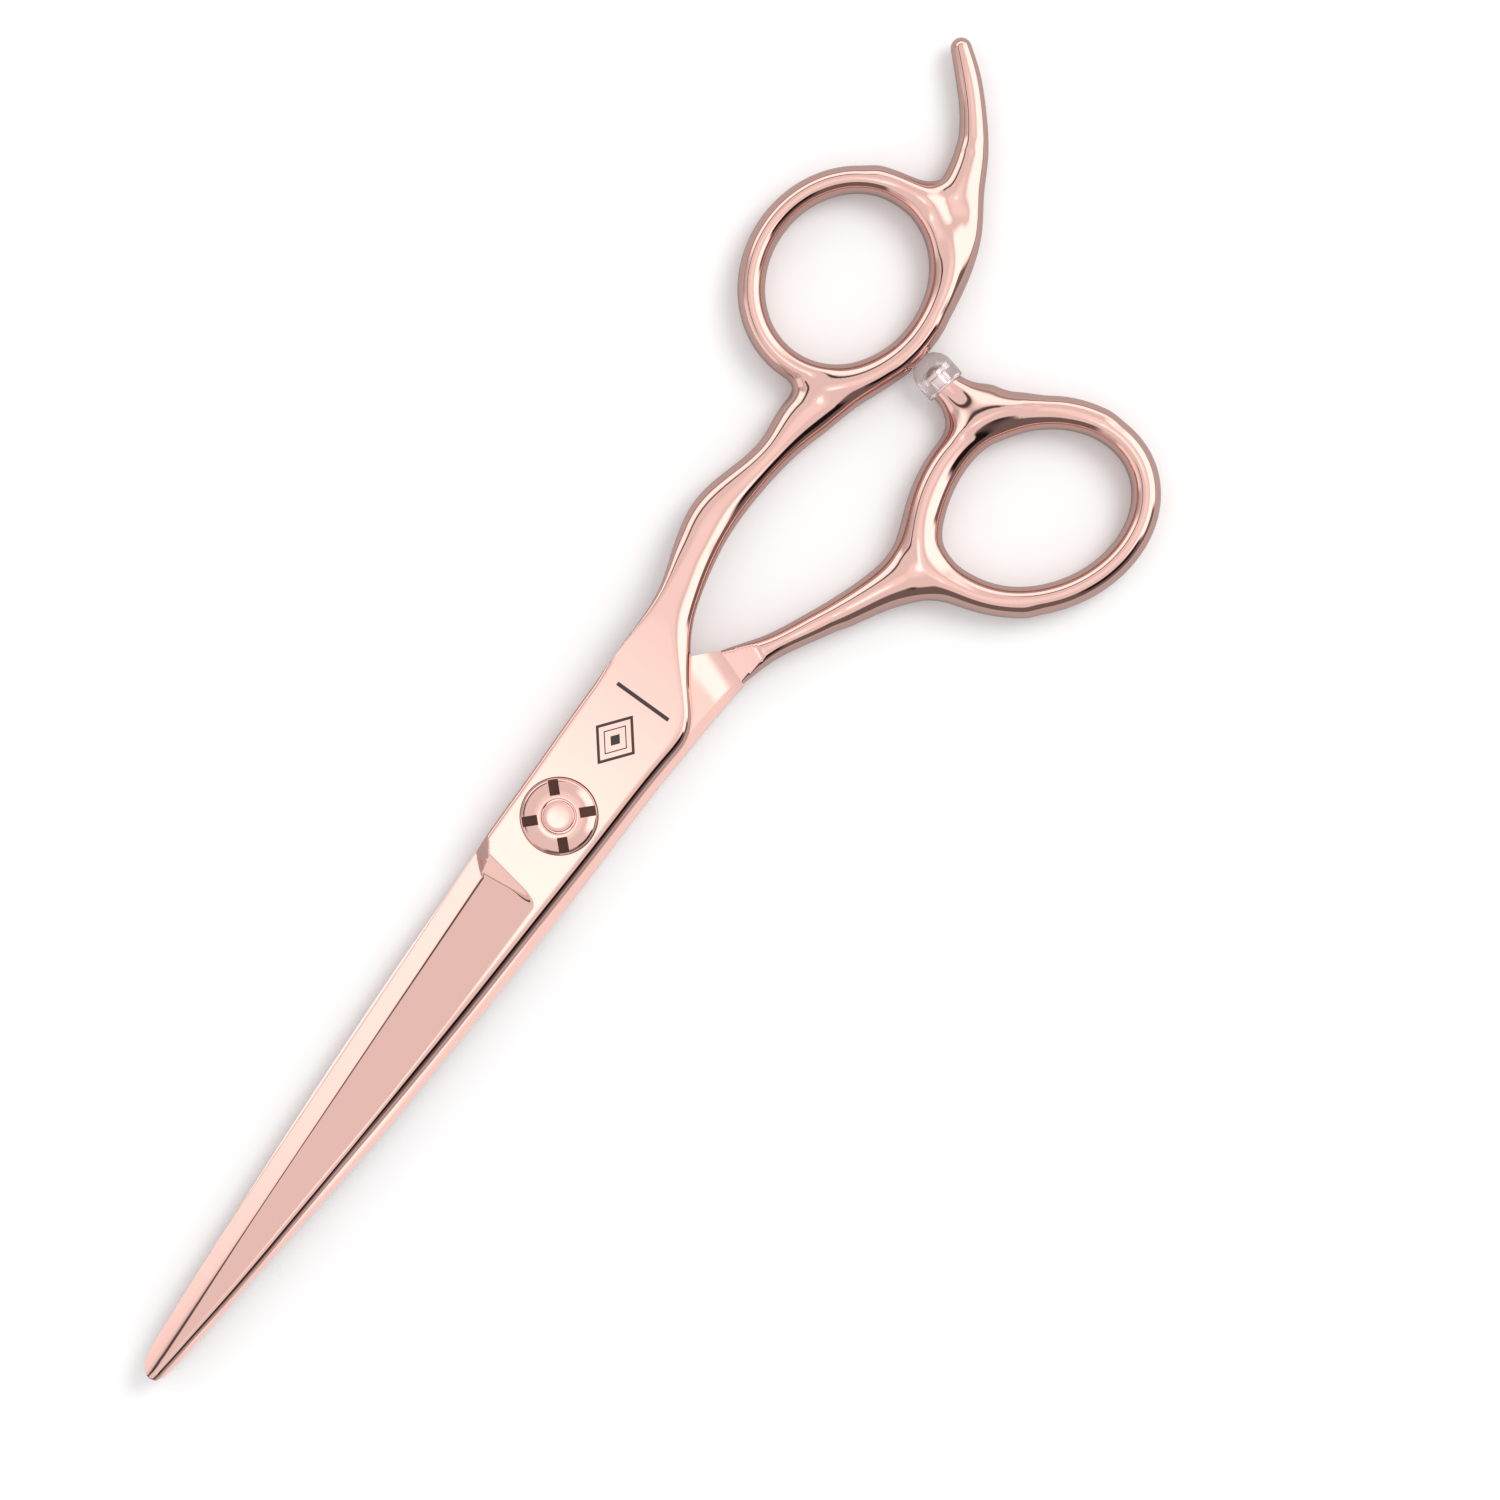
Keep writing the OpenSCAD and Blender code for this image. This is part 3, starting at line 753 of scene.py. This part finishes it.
def blade_levels(stations, x, y, g, finger):
    """Outer and inner heights at a blade's plan points, above its inner face."""
    y_low, y_high = y[:, :1], y[:, -1:]
    # Rounded edges: at the spine they fall from the surface itself, at -Y and the tip from the flat
    level = flat_level(x)
    top = np.minimum(ground_top(x, y, g), level - EDGE_ROUND * fall(y - y_low, EDGE_ROUND))
    top = top - spine_round(x) * fall(y_high - y, spine_round(x))
    top = np.minimum(top, level - 0.6 * fall(stations[-1] + 0.02 - x, 0.5))
    top = np.maximum(top, EDGE_T)
    # Inner face: a flat ride at the pivot, then a shallow hollow between edge and spine
    mid, half = (y_low + y_high) / 2, (y_high - y_low) / 2
    across = np.clip(np.abs(y - mid) / np.maximum(half - 0.35, 0.2), 0, 1)
    depth = HOLLOW * smoothstep(12.0, 18.0, x) * (1 - smoothstep(68.0, 74.0, x))
    bottom = depth * (1 - across ** 2) ** 2
    if not finger:
        # The visible rim of the inner face falls away a little, and a ramp rises to the handle
        rim = np.clip(1.0 - (y - y_low), 0, None)
        bottom = bottom + (0.09 - 0.03 * smoothstep(6.0, 14.0, x)) * rim
        climb = np.clip((-19.8 - stations[:, None]) / 4.05, 0, 1)
        bottom = bottom - 0.3 * climb ** 2
    top = np.maximum(top, bottom + EDGE_T * 0.5)
    if finger:
        neck_part = 1 - smoothstep(-18.0, -13.5, x)
        neck_top, neck_bottom = neck_heights(x, y)
        top = top * (1 - neck_part) + (neck_top - FINGER_BOTTOM) * neck_part
        bottom = bottom * (1 - neck_part) + (neck_bottom - FINGER_BOTTOM) * neck_part
    return top, bottom


def blade_mesh(name, outline, g, finger):
    """One blade as a closed mesh. The thumb blade is turned over, its outer side down."""
    stations, x, y = blade_plan(outline, g, finger)
    top, bottom = blade_levels(stations, x, y, g, finger)
    n_s, n_r = x.shape
    verts = np.stack([[x, y, top], [x, y, bottom]]).transpose(0, 2, 3, 1).reshape(-1, 3)
    k = n_s * n_r
    faces = []
    for i in range(n_s - 1):
        for j in range(n_r - 1):
            p = i * n_r + j
            faces.append((p, p + n_r, p + n_r + 1, p + 1))
            faces.append((k + p, k + p + 1, k + p + n_r + 1, k + p + n_r))
        for j in (0, n_r - 1):
            p = i * n_r + j
            faces.append((p, p + n_r, k + p + n_r, k + p))
    for i in (0, n_s - 1):
        for j in range(n_r - 1):
            p = i * n_r + j
            faces.append((p, p + 1, k + p + 1, k + p))
    if finger:
        verts[:, 2] += FINGER_BOTTOM
    else:
        verts[:, 1] *= -1
        verts[:, 2] = THUMB_TOP - verts[:, 2]
    obj = new_mesh(name, verts, faces)
    clean(obj, 0.0008)
    return obj


def finger_blade():
    obj = blade_mesh("finger_blade_polished", FINGER_OUTLINE, FINGER_GRIND, True)
    subtract(obj, [
        cutter("bore", BUSH_R, FINGER_BOTTOM - 1, FINGER_TOP + 1),
        cutter("recess", STACK_R, STACK_LOW, FINGER_TOP + 1),
        cutter("pocket", 4.6, FINGER_BOTTOM - 1, FINGER_BOTTOM + 0.15),
    ])
    sharpen(obj)
    return obj


def thumb_blade():
    obj = blade_mesh("thumb_blade_polished", THUMB_OUTLINE, THUMB_GRIND, False)
    subtract(obj, [
        cutter("head_recess", BOLT_HEAD_R + 0.1, -1.0, 0.9),
        cutter("keyed_hole", 2.2, -1.0, THUMB_TOP + 1, flats=1.8),
        cutter("pocket", 4.6, THUMB_TOP - 0.15, THUMB_TOP + 1),
    ])
    sharpen(obj)
    return obj


# ---- Handles ------------------------------------------------------------------------------

CELL = 0.3


def finger_handle():
    low, high = node_box("finger_handle")
    verts, faces = surface_net(finger_field, low, high + np.array([0.6, 0, 0.4]), CELL)
    obj = new_mesh("finger_handle_polished", verts, faces)
    weld = ((WELD_X, 0, 0), (1, 0, 0))
    cut_flat(obj, *weld)
    field_normals(obj, finger_field, [weld])
    return obj


def thumb_handle():
    low, high = node_box("thumb_handle")
    verts, faces = surface_net(thumb_field, low - 0.4, high + 0.8, CELL)
    obj = new_mesh("thumb_handle_polished", verts, faces)
    facing = (-math.cos(THUMB_WELD_ANGLE), -math.sin(THUMB_WELD_ANGLE), 0)
    weld = ((THUMB_WELD[0], THUMB_WELD[1], 0), facing)
    boss = (tuple(BOSS_END), (math.cos(BOSS_ANGLE), math.sin(BOSS_ANGLE), 0))
    cut_flat(obj, *weld)
    cut_flat(obj, *boss)
    field_normals(obj, thumb_field, [weld, boss])
    return obj


# ---- Pivot and bumper ---------------------------------------------------------------------

SLOT_FLOOR = DIAL_LOW + 0.7


def tension_dial():
    """Domed dial with four slots and a rounded rim."""
    crown_r, bore, q = BOLT_END_R + 0.3, BOLT_END_R + 0.16, 0.5
    collar_r, seat_r = 2.15, 3.5
    skirt, steepest = DIAL_LOW + 0.3, math.radians(20)
    joint = DIAL_R - q + q * math.sin(steepest)
    dome_r = (joint - crown_r) / math.sin(steepest)
    joint_z = DIAL_TOP - dome_r * (1 - math.cos(steepest))
    profile = [(bore, skirt), (collar_r, skirt), (collar_r, DIAL_LOW)]
    profile += [(seat_r, DIAL_LOW), (seat_r, skirt), (DIAL_R - 0.1, skirt), (DIAL_R, skirt + 0.1)]
    profile += arc(DIAL_R - q, joint_z - q * math.cos(steepest), q, 0, 70, 10)
    profile += arc(crown_r, DIAL_TOP - dome_r, dome_r, 70, 90, 16)[1:]
    profile += [(bore + 0.04, DIAL_TOP - 0.02), (bore, DIAL_TOP - 0.1)]
    obj = lathe("tension_dial_polished", profile, 128)
    tools = []
    for k in range(4):
        a = math.radians(45 + 90 * k)
        bpy.ops.mesh.primitive_cube_add(size=1)
        tool = bpy.context.object
        turn = Matrix.Rotation(a, 4, "Z")
        size = Matrix.Diagonal((4 * MM, 1.1 * MM, 3 * MM, 1))
        tool.matrix_world = turn @ Matrix.Translation(Vector((4.3, 0, SLOT_FLOOR + 1.5)) * MM) @ size
        tools.append(tool)
    bpy.context.view_layer.update()
    subtract(obj, tools)
    bevel = obj.modifiers.new("worn_edges", "BEVEL")
    bevel.width = 0.07 * MM
    bevel.segments = 3
    bevel.limit_method = "ANGLE"
    bevel.angle_limit = math.radians(35)
    apply_modifiers(obj)
    sharpen(obj, 50, weighted=False)
    return obj


def pivot_bolt():
    """Bolt: flush head below, narrow neck, shank and the nearly flat end that shows in the dial."""
    head, end = BOLT_HEAD_R, BOLT_END_R
    profile = [(0, 0.0), (head - 0.15, 0.0), (head, 0.15), (head, 0.9), (1.78, 0.9), (1.78, 2.8)]
    profile += [(2.0, 2.8), (2.0, 5.9), (end, 5.9), (end, BOLT_TOP - 0.15)]
    profile += arc(end - 0.15, BOLT_TOP - 0.15, 0.15, 0, 80, 4)
    profile += [(end - 0.6, BOLT_TOP), (0, BOLT_TOP + 0.03)]
    obj = lathe("pivot_bolt_polished", profile, 96)
    sharpen(obj, 30, weighted=False)
    return obj


def turned_to_boss(obj):
    """Lays a piece turned about +Z along the bumper's axis."""
    turn = Matrix.Rotation(BOSS_ANGLE, 4, "Z") @ Matrix.Rotation(math.pi / 2, 4, "Y")
    obj.data.transform(Matrix.Translation(Vector(BOSS_END) * MM) @ turn)


def bumper():
    """Clear silicone dome with a rounded foot and a hollow round the stud."""
    r, length = 2.3, 4.3
    crown = length - r
    outer = arc(r - 0.25, 0.25, 0.25, -90, 0, 5) + arc(0, crown, r, 0, 90, 20)
    inner = [(0, 2.6), (0.6, 2.55), (1.3, 2.1), (1.3, 1.45)]
    inner += [(0.75, 1.4), (0.75, 0.45), (1.55, 0.42), (1.55, 0.0)]
    obj = lathe("bumper_clear", [(r - 0.25, 0.0)] + outer[1:] + inner, 96)
    turned_to_boss(obj)
    sharpen(obj, 40)
    return obj


def bumper_stud():
    """Metal stud inside the bumper: screw end, collar, neck and mushroom head."""
    profile = [(0, -2.4), (0.7, -2.4), (0.8, -2.3), (0.8, 0.0), (1.42, 0.0), (1.5, 0.08), (1.5, 0.32)]
    profile += [(1.42, 0.4), (0.7, 0.4), (0.7, 1.5), (1.15, 1.5), (1.25, 1.6)]
    profile += [(1.25, 1.95), (1.1, 2.1), (0.6, 2.45), (0, 2.5)]
    obj = lathe("bumper_stud_steel", profile, 64)
    turned_to_boss(obj)
    sharpen(obj, 40)
    return obj


# ---- Materials ----------------------------------------------------------------------------

def new_material(name):
    mat = bpy.data.materials.new(name)
    mat.use_nodes = True
    tree = mat.node_tree
    return mat, tree, tree.nodes["Principled BSDF"]


def add(tree, kind, **values):
    """Adds a node; keywords that are socket names set sockets, the rest set properties."""
    node = tree.nodes.new(kind)
    for key, value in values.items():
        if key in node.inputs:
            node.inputs[key].default_value = value
        else:
            setattr(node, key, value)
    return node


def link(tree, a, out, b, into):
    tree.links.new(a.outputs[out], b.inputs[into])


def calc(tree, operation, a, b=0.0, clamp=False):
    """Output of a maths node. a and b are numbers or the outputs of other nodes."""
    node = add(tree, "ShaderNodeMath", operation=operation)
    node.use_clamp = clamp
    for i, part in enumerate((a, b)):
        if isinstance(part, tuple):
            link(tree, *part, node, i)
        else:
            node.inputs[i].default_value = part
    return (node, 0)


def remap(tree, value, span, into, kind="LINEAR"):
    """Output of a node that maps one span of values onto another."""
    node = add(tree, "ShaderNodeMapRange", interpolation_type=kind)
    for key, number in zip(("From Min", "From Max", "To Min", "To Max"), (*span, *into)):
        node.inputs[key].default_value = number
    link(tree, *value, node, "Value")
    return (node, "Result")


def blend(tree, factor, a, b, kind="RGBA"):
    """Output of a node that mixes a and b, each a colour, a number or a node's output."""
    node = add(tree, "ShaderNodeMix", data_type=kind)
    link(tree, *factor, node, "Factor")
    for key, part in (("A", a), ("B", b)):
        if isinstance(part, tuple) and isinstance(part[0], bpy.types.Node):
            link(tree, *part, node, key)
        else:
            node.inputs[key].default_value = (*part, 1) if kind == "RGBA" else part
    return (node, "Result")


def noise(tree, scale, detail, rough=0.5, vector=None):
    """Noise over the object's own coordinates, or over another vector."""
    vector = vector or (add(tree, "ShaderNodeTexCoord"), "Object")
    node = add(tree, "ShaderNodeTexNoise", Scale=scale, Detail=detail, Roughness=rough)
    link(tree, *vector, node, "Vector")
    return (node, "Fac")


def relief(tree, height, strength, shader):
    """Very low relief on a surface."""
    bump = add(tree, "ShaderNodeBump", Strength=strength, Distance=0.02 * MM)
    link(tree, *height, bump, "Height")
    link(tree, bump, "Normal", shader, "Normal")


def polished_metal(name, colour, tint, rough_low, rough_high, grain=1.0):
    """Mirror-polished metal with faint buffing lines, smudges and slightly uneven colour."""
    mat, tree, shader = new_material(name)
    shader.inputs["Metallic"].default_value = 1.0
    stretch = add(tree, "ShaderNodeMapping")
    stretch.inputs["Scale"].default_value = (600 * grain, 9000 * grain, 9000 * grain)
    link(tree, add(tree, "ShaderNodeTexCoord"), "Object", stretch, "Vector")
    lines = noise(tree, 1.0, 3.0, 0.6, (stretch, "Vector"))
    smudge = noise(tree, 110.0, 4.0, 0.55)
    uneven = calc(tree, "MULTIPLY", lines, smudge)
    link(tree, *remap(tree, uneven, (0.15, 0.4), (rough_low, rough_high)), shader, "Roughness")
    link(tree, *blend(tree, smudge, colour, tint), shader, "Base Color")
    relief(tree, lines, 0.012, shader)
    return mat


def within(tree, value, low, high, soft):
    """1 where a value lies between two limits, with soft borders. All in millimetres."""
    up, down = (((edge - soft) * MM, (edge + soft) * MM) for edge in (low, high))
    return calc(tree, "MULTIPLY", remap(tree, value, up, (0, 1)), remap(tree, value, down, (1, 0)))


def darken(mat, mask, colour, roughness):
    """Lays a darker, duller colour over a polished metal where the mask is 1: used for the ornament
    and for painted shade.
    """
    tree = mat.node_tree
    shader = next(n for n in tree.nodes if n.type == "BSDF_PRINCIPLED")
    for into, value, kind in (("Base Color", colour, "RGBA"), ("Roughness", roughness, "FLOAT")):
        old = shader.inputs[into].links[0]
        mixed = blend(tree, mask, (old.from_node, old.from_socket.name), value, kind)
        link(tree, *mixed, shader, into)


def position(tree):
    """Node with the place in the frame as X, Y and Z, and the plan distance from the pivot axis."""
    split = add(tree, "ShaderNodeSeparateXYZ")
    link(tree, add(tree, "ShaderNodeTexCoord"), "Object", split, "Vector")
    plan = add(tree, "ShaderNodeCombineXYZ")
    link(tree, split, "X", plan, "X")
    link(tree, split, "Y", plan, "Y")
    far = add(tree, "ShaderNodeVectorMath", operation="LENGTH")
    link(tree, plan, "Vector", far, 0)
    return split, (far, "Value")


# Ornament beside the dial: centre of the lozenge, how much less tall it is than long, and a rule
LOZENGE = (-10.2, 0.1)
LOZENGE_SQUASH = 1.25
RULE_X = (-15.5, -15.05)
RULE_Y = (-3.3, 3.5)


def engrave_and_paint_shadow(mat):
    """Plain ornament on the flat beside the dial, a lozenge, a dot and a rule, and a painted shadow
    ring round the dial's seat.
    """
    tree = mat.node_tree
    split, far = position(tree)
    off_x, off_y = (
        calc(tree, "ABSOLUTE", calc(tree, "SUBTRACT", (split, axis), centre * MM))
        for axis, centre in zip("XY", LOZENGE)
    )
    spread = calc(tree, "ADD", off_x, calc(tree, "MULTIPLY", off_y, LOZENGE_SQUASH))
    rule = calc(
        tree, "MULTIPLY",
        within(tree, (split, "X"), *RULE_X, 0.03), within(tree, (split, "Y"), *RULE_Y, 0.03),
    )
    # Frame, inner line and dot of the lozenge, then the painted shadow line round the dial
    ornament_and_shadow = rule
    for value, low, high in (
        (spread, 2.75, 3.25), (spread, 1.75, 1.95), (spread, -1.0, 0.8),
        (far, DIAL_R - 0.1, DIAL_R + 0.11),
    ):
        ornament_and_shadow = calc(tree, "MAXIMUM", ornament_and_shadow, within(tree, value, low, high, 0.03))
    outside = within(tree, (split, "Z"), FINGER_TOP - 0.05, FINGER_TOP + 0.2, 0.01)
    # One dark colour paints both the ornament and the painted shadow ring round the dial's seat
    darken(mat, calc(tree, "MULTIPLY", ornament_and_shadow, outside), (0.085, 0.075, 0.075), 0.42)


def paint_shade_in_slots(mat):
    """Painted shade in the dial's slots: their floors are coloured dark brown, with a duller surface.
    """
    tree = mat.node_tree
    split, far = position(tree)
    level = within(tree, (split, "Z"), SLOT_FLOOR - 0.5, SLOT_FLOOR + 0.04, 0.02)
    reach = within(tree, far, 1.95, DIAL_R - 0.12, 0.03)
    # Painted shade: dark brown colour laid on the slot floors, where shade falls
    darken(mat, calc(tree, "MULTIPLY", level, reach), (0.11, 0.055, 0.045), 0.35)


def moulded_plastic(name, colour):
    """White nylon with a faint moulded grain."""
    mat, tree, shader = new_material(name)
    shader.inputs["Subsurface Weight"].default_value = 0.15
    shader.inputs["Subsurface Scale"].default_value = 0.8 * MM
    grain = noise(tree, 2600.0, 3.0)
    link(tree, *remap(tree, grain, (0, 1), (0.35, 0.55)), shader, "Roughness")
    darker = tuple(0.93 * c for c in colour)
    link(tree, *blend(tree, grain, colour, darker), shader, "Base Color")
    relief(tree, grain, 0.05, shader)
    return mat


def clear_silicone(name):
    """Translucent silicone, slightly pink and slightly hazy."""
    mat, tree, shader = new_material(name)
    shader.inputs["Transmission Weight"].default_value = 0.92
    shader.inputs["IOR"].default_value = 1.41
    haze = noise(tree, 700.0, 3.0)
    link(tree, *blend(tree, haze, (1.0, 0.88, 0.88), (1.0, 0.94, 0.94)), shader, "Base Color")
    link(tree, *remap(tree, haze, (0, 1), (0.06, 0.2)), shader, "Roughness")
    return mat


GOLD_LOOK = ((0.95, 0.60, 0.53), (0.93, 0.585, 0.52), 0.02, 0.055)
ROSE_GOLD = polished_metal("rose_gold_mirror", *GOLD_LOOK)
ROSE_GOLD_MARKED_AND_SHADOWED = polished_metal("rose_gold_engraved_and_shadowed", *GOLD_LOOK)
engrave_and_paint_shadow(ROSE_GOLD_MARKED_AND_SHADOWED)
ROSE_GOLD_DIAL = polished_metal("rose_gold_dial", *GOLD_LOOK)
paint_shade_in_slots(ROSE_GOLD_DIAL)
BRIGHT_STEEL = polished_metal("bright_steel", (0.9, 0.85, 0.84), (0.86, 0.81, 0.8), 0.06, 0.14, 0.6)
STEEL = polished_metal("spring_steel", (0.72, 0.72, 0.74), (0.62, 0.62, 0.65), 0.14, 0.3, 0.6)
NYLON = moulded_plastic("white_nylon", (0.88, 0.88, 0.86))
SILICONE = clear_silicone("clear_silicone")


# ---- Pieces -------------------------------------------------------------------------------

def finish_piece(obj, body, node, material):
    obj.data.materials.clear()
    obj.data.materials.append(material)
    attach(obj, body)
    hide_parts(node)
    return obj


finish_piece(finger_blade(), "finger_half", "finger_blade", ROSE_GOLD_MARKED_AND_SHADOWED)
finish_piece(finger_handle(), "finger_half", "finger_handle", ROSE_GOLD)
finish_piece(thumb_blade(), "thumb_half", "thumb_blade", ROSE_GOLD)
finish_piece(thumb_handle(), "thumb_half", "thumb_handle", ROSE_GOLD)
finish_piece(tension_dial(), "dial", "tension_dial", ROSE_GOLD_DIAL)
finish_piece(pivot_bolt(), "thumb_half", "pivot_bolt", ROSE_GOLD)
finish_piece(bumper(), "thumb_half", "bumper", SILICONE)
finish_piece(bumper_stud(), "thumb_half", "bumper_stud", BRIGHT_STEEL)

NODE_LOOKS = {
    "pivot_bushing": NYLON, "glide_washer": NYLON,
    "thrust_washer": STEEL, "disc_spring": STEEL, "click_plate": STEEL,
}
for node_name, look in NODE_LOOKS.items():
    node_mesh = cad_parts[node_name].data
    node_mesh.materials.clear()
    node_mesh.materials.append(look)


# ---- Floor, light and camera --------------------------------------------------------------

def mirror_ray(tree):
    """1 for a reflected ray, 0 for one that went through something clear."""
    path = add(tree, "ShaderNodeLightPath")
    return calc(tree, "SUBTRACT", (path, "Is Glossy Ray"), (path, "Is Transmission Ray"), clamp=True)


def floor():
    """Pale seamless floor that the shears lie on."""
    bpy.ops.mesh.primitive_circle_add(vertices=96, radius=4.0, fill_type="NGON")
    obj = bpy.context.object
    obj.name = "floor"
    obj.location = (0, 0, -0.02 * MM)
    mat, tree, shader = new_material("pale_floor")
    tone = blend(tree, noise(tree, 14.0, 2.0), (0.90, 0.90, 0.90), (0.92, 0.92, 0.92))
    # Painted shade: mirrors see the floor at a flat darker grey, standing in for the shade of the
    # shears
    shade = blend(tree, mirror_ray(tree), tone, (0.42, 0.42, 0.42))
    link(tree, *shade, shader, "Base Color")
    shader.inputs["Roughness"].default_value = 0.75
    shader.inputs["Specular IOR Level"].default_value = 0.2
    obj.data.materials.append(mat)


# Degrees in a radian
DEGREES = 57.29578


class Sky:
    """World shader in which soft cards of light stand in given directions."""

    def __init__(self, base):
        world = bpy.data.worlds.new("studio")
        bpy.context.scene.world = world
        world.use_nodes = True
        self.tree = world.node_tree
        self.tree.nodes.clear()
        self.split = add(self.tree, "ShaderNodeSeparateXYZ")
        link(self.tree, add(self.tree, "ShaderNodeTexCoord"), "Generated", self.split, "Vector")
        colour = add(self.tree, "ShaderNodeRGB")
        colour.outputs[0].default_value = (*base, 1)
        self.shown = (colour, 0)

    def math(self, operation, a, b=0.0):
        return calc(self.tree, operation, a, b)

    def ramp(self, value, low, high, rising=True):
        """Soft step from 0 to 1 between two values, or from 1 to 0."""
        ends = (0.0, 1.0) if rising else (1.0, 0.0)
        return remap(self.tree, value, (low, high), ends, "SMOOTHSTEP")

    def along(self, direction):
        """Share of the ray's direction that lies along a direction of two or three parts."""
        total = None
        for axis, part in zip("XYZ", direction):
            term = self.math("MULTIPLY", (self.split, axis), part)
            total = self.math("ADD", total, term) if total else term
        return total

    def angle(self, cosine):
        """Angle in degrees of a cosine."""
        turn = self.math("ARCCOSINE", self.math("MINIMUM", cosine, 1.0))
        return self.math("MULTIPLY", turn, DEGREES)

    def from_azimuth(self, azimuth):
        """Angle between the plan direction and an azimuth, in degrees, from 0 to 180."""
        a = math.radians(azimuth)
        across = self.math("ABSOLUTE", self.along((-math.sin(a), math.cos(a))))
        turn = self.math("ARCTAN2", across, self.along((math.cos(a), math.sin(a))))
        return self.math("MULTIPLY", turn, DEGREES)

    def between(self, low, high, soft):
        """Mask of the directions between two angles from straight up."""
        tilt = self.angle((self.split, "Z"))
        up = self.ramp(tilt, low - soft, low + soft)
        return self.math("MULTIPLY", up, self.ramp(tilt, high - soft, high + soft, False))

    def lay(self, mask, colour):
        self.shown = blend(self.tree, mask, self.shown, colour)

    def band(self, low, high, soft, colour):
        """Colour all the way round, between two angles from straight up."""
        self.lay(self.between(low, high, soft), colour)

    def card(self, azimuth, half, low, high, soft_side, soft_edge, colour):
        """Colour in a sector round an azimuth, between two angles from straight up."""
        side = self.ramp(self.from_azimuth(azimuth), half - soft_side, half + soft_side, False)
        self.lay(self.math("MULTIPLY", self.between(low, high, soft_edge), side), colour)

    def spot(self, azimuth, tilt, inner, outer, colour):
        """Round patch of colour that fades between two angles from its centre."""
        a, b = math.radians(azimuth), math.radians(tilt)
        centre = (math.sin(b) * math.cos(a), math.sin(b) * math.sin(a), math.cos(b))
        self.lay(self.ramp(self.angle(self.along(centre)), inner, outer, False), colour)

    def close(self, seen, fill):
        """Shows the cards to mirrors only; the camera sees one colour and soft surfaces another."""
        path = add(self.tree, "ShaderNodeLightPath")
        mirror = blend(self.tree, mirror_ray(self.tree), fill, self.shown)
        shine = add(self.tree, "ShaderNodeBackground")
        eye = blend(self.tree, (path, "Is Camera Ray"), mirror, seen)
        link(self.tree, *eye, shine, "Color")
        out = add(self.tree, "ShaderNodeOutputWorld")
        link(self.tree, shine, "Background", out, "Surface")


def studio():
    """Grey room with bright and dark cards, each in its own direction."""
    sky = Sky((0.60, 0.60, 0.60))
    sky.band(-10, 52, 10, (0.84, 0.84, 0.84))
    sky.band(80, 190, 8, (0.33, 0.33, 0.33))
    # Soft lamp nearly overhead, in a paler ceiling
    sky.spot(0, 0, 7.0, 20.0, (1.02, 1.02, 1.02))
    sky.spot(-12, 5.8, 3.2, 7.0, (1.6, 1.6, 1.6))
    # Cream strip and the dark seam above it, on the -Y side
    sky.card(-130, 52, 50, 76, 8, 4, (1.45, 1.45, 1.45))
    sky.card(-90, 60, 39, 46, 8, 2, (0.08, 0.08, 0.08))
    # White card on the side of the thumb handle
    sky.card(137, 41, 24, 82, 10, 5, (1.6, 1.6, 1.6))
    # Dark wall on the tip side, with a black card in it and a wing towards the thumb handle
    sky.card(56, 44, 42, 104, 5, 4, (0.16, 0.15, 0.15))
    sky.card(84, 18, 40, 66, 4, 3, (0.012, 0.010, 0.010))
    sky.card(107, 14, 62, 100, 4, 4, (0.18, 0.17, 0.17))
    # Lit wall beyond the tips, seen in the step of the blade
    sky.card(-30, 24, 60, 100, 5, 5, (0.95, 0.95, 0.95))
    sky.close((1.0, 1.0, 1.0), (0.95, 0.95, 0.95))


def key_light():
    """Large soft lamp over the handles, which throws the contact shadow."""
    lamp = bpy.data.lights.new("key", "AREA")
    lamp.shape = "DISK"
    lamp.size = 0.5
    lamp.energy = 3.0
    obj = bpy.data.objects.new("key", lamp)
    spot = Vector((-0.55, 0.18, 0.75))
    obj.location = spot
    obj.rotation_euler = spot.to_track_quat("Z", "Y").to_euler()
    obj.visible_glossy = False
    obj.visible_camera = False
    bpy.context.scene.collection.objects.link(obj)


def camera():
    """Straight down, turned so that the tips point to the lower left."""
    data = bpy.data.cameras.new("camera")
    data.sensor_width = 36.0
    distance, seen = 600.0, 162.0
    aim = (-17.8, 12.5)
    data.lens = data.sensor_width * distance / seen
    obj = bpy.data.objects.new("camera", data)
    right, up = Vector((-0.585, 0.811, 0)), Vector((-0.811, -0.585, 0))
    turn = Matrix((right, up, right.cross(up))).transposed().to_4x4()
    obj.matrix_world = Matrix.Translation(Vector((*aim, distance + 4)) * MM) @ turn
    bpy.context.scene.collection.objects.link(obj)
    bpy.context.scene.camera = obj


floor()
studio()
key_light()
camera()
bpy.context.scene.view_settings.view_transform = "Standard"
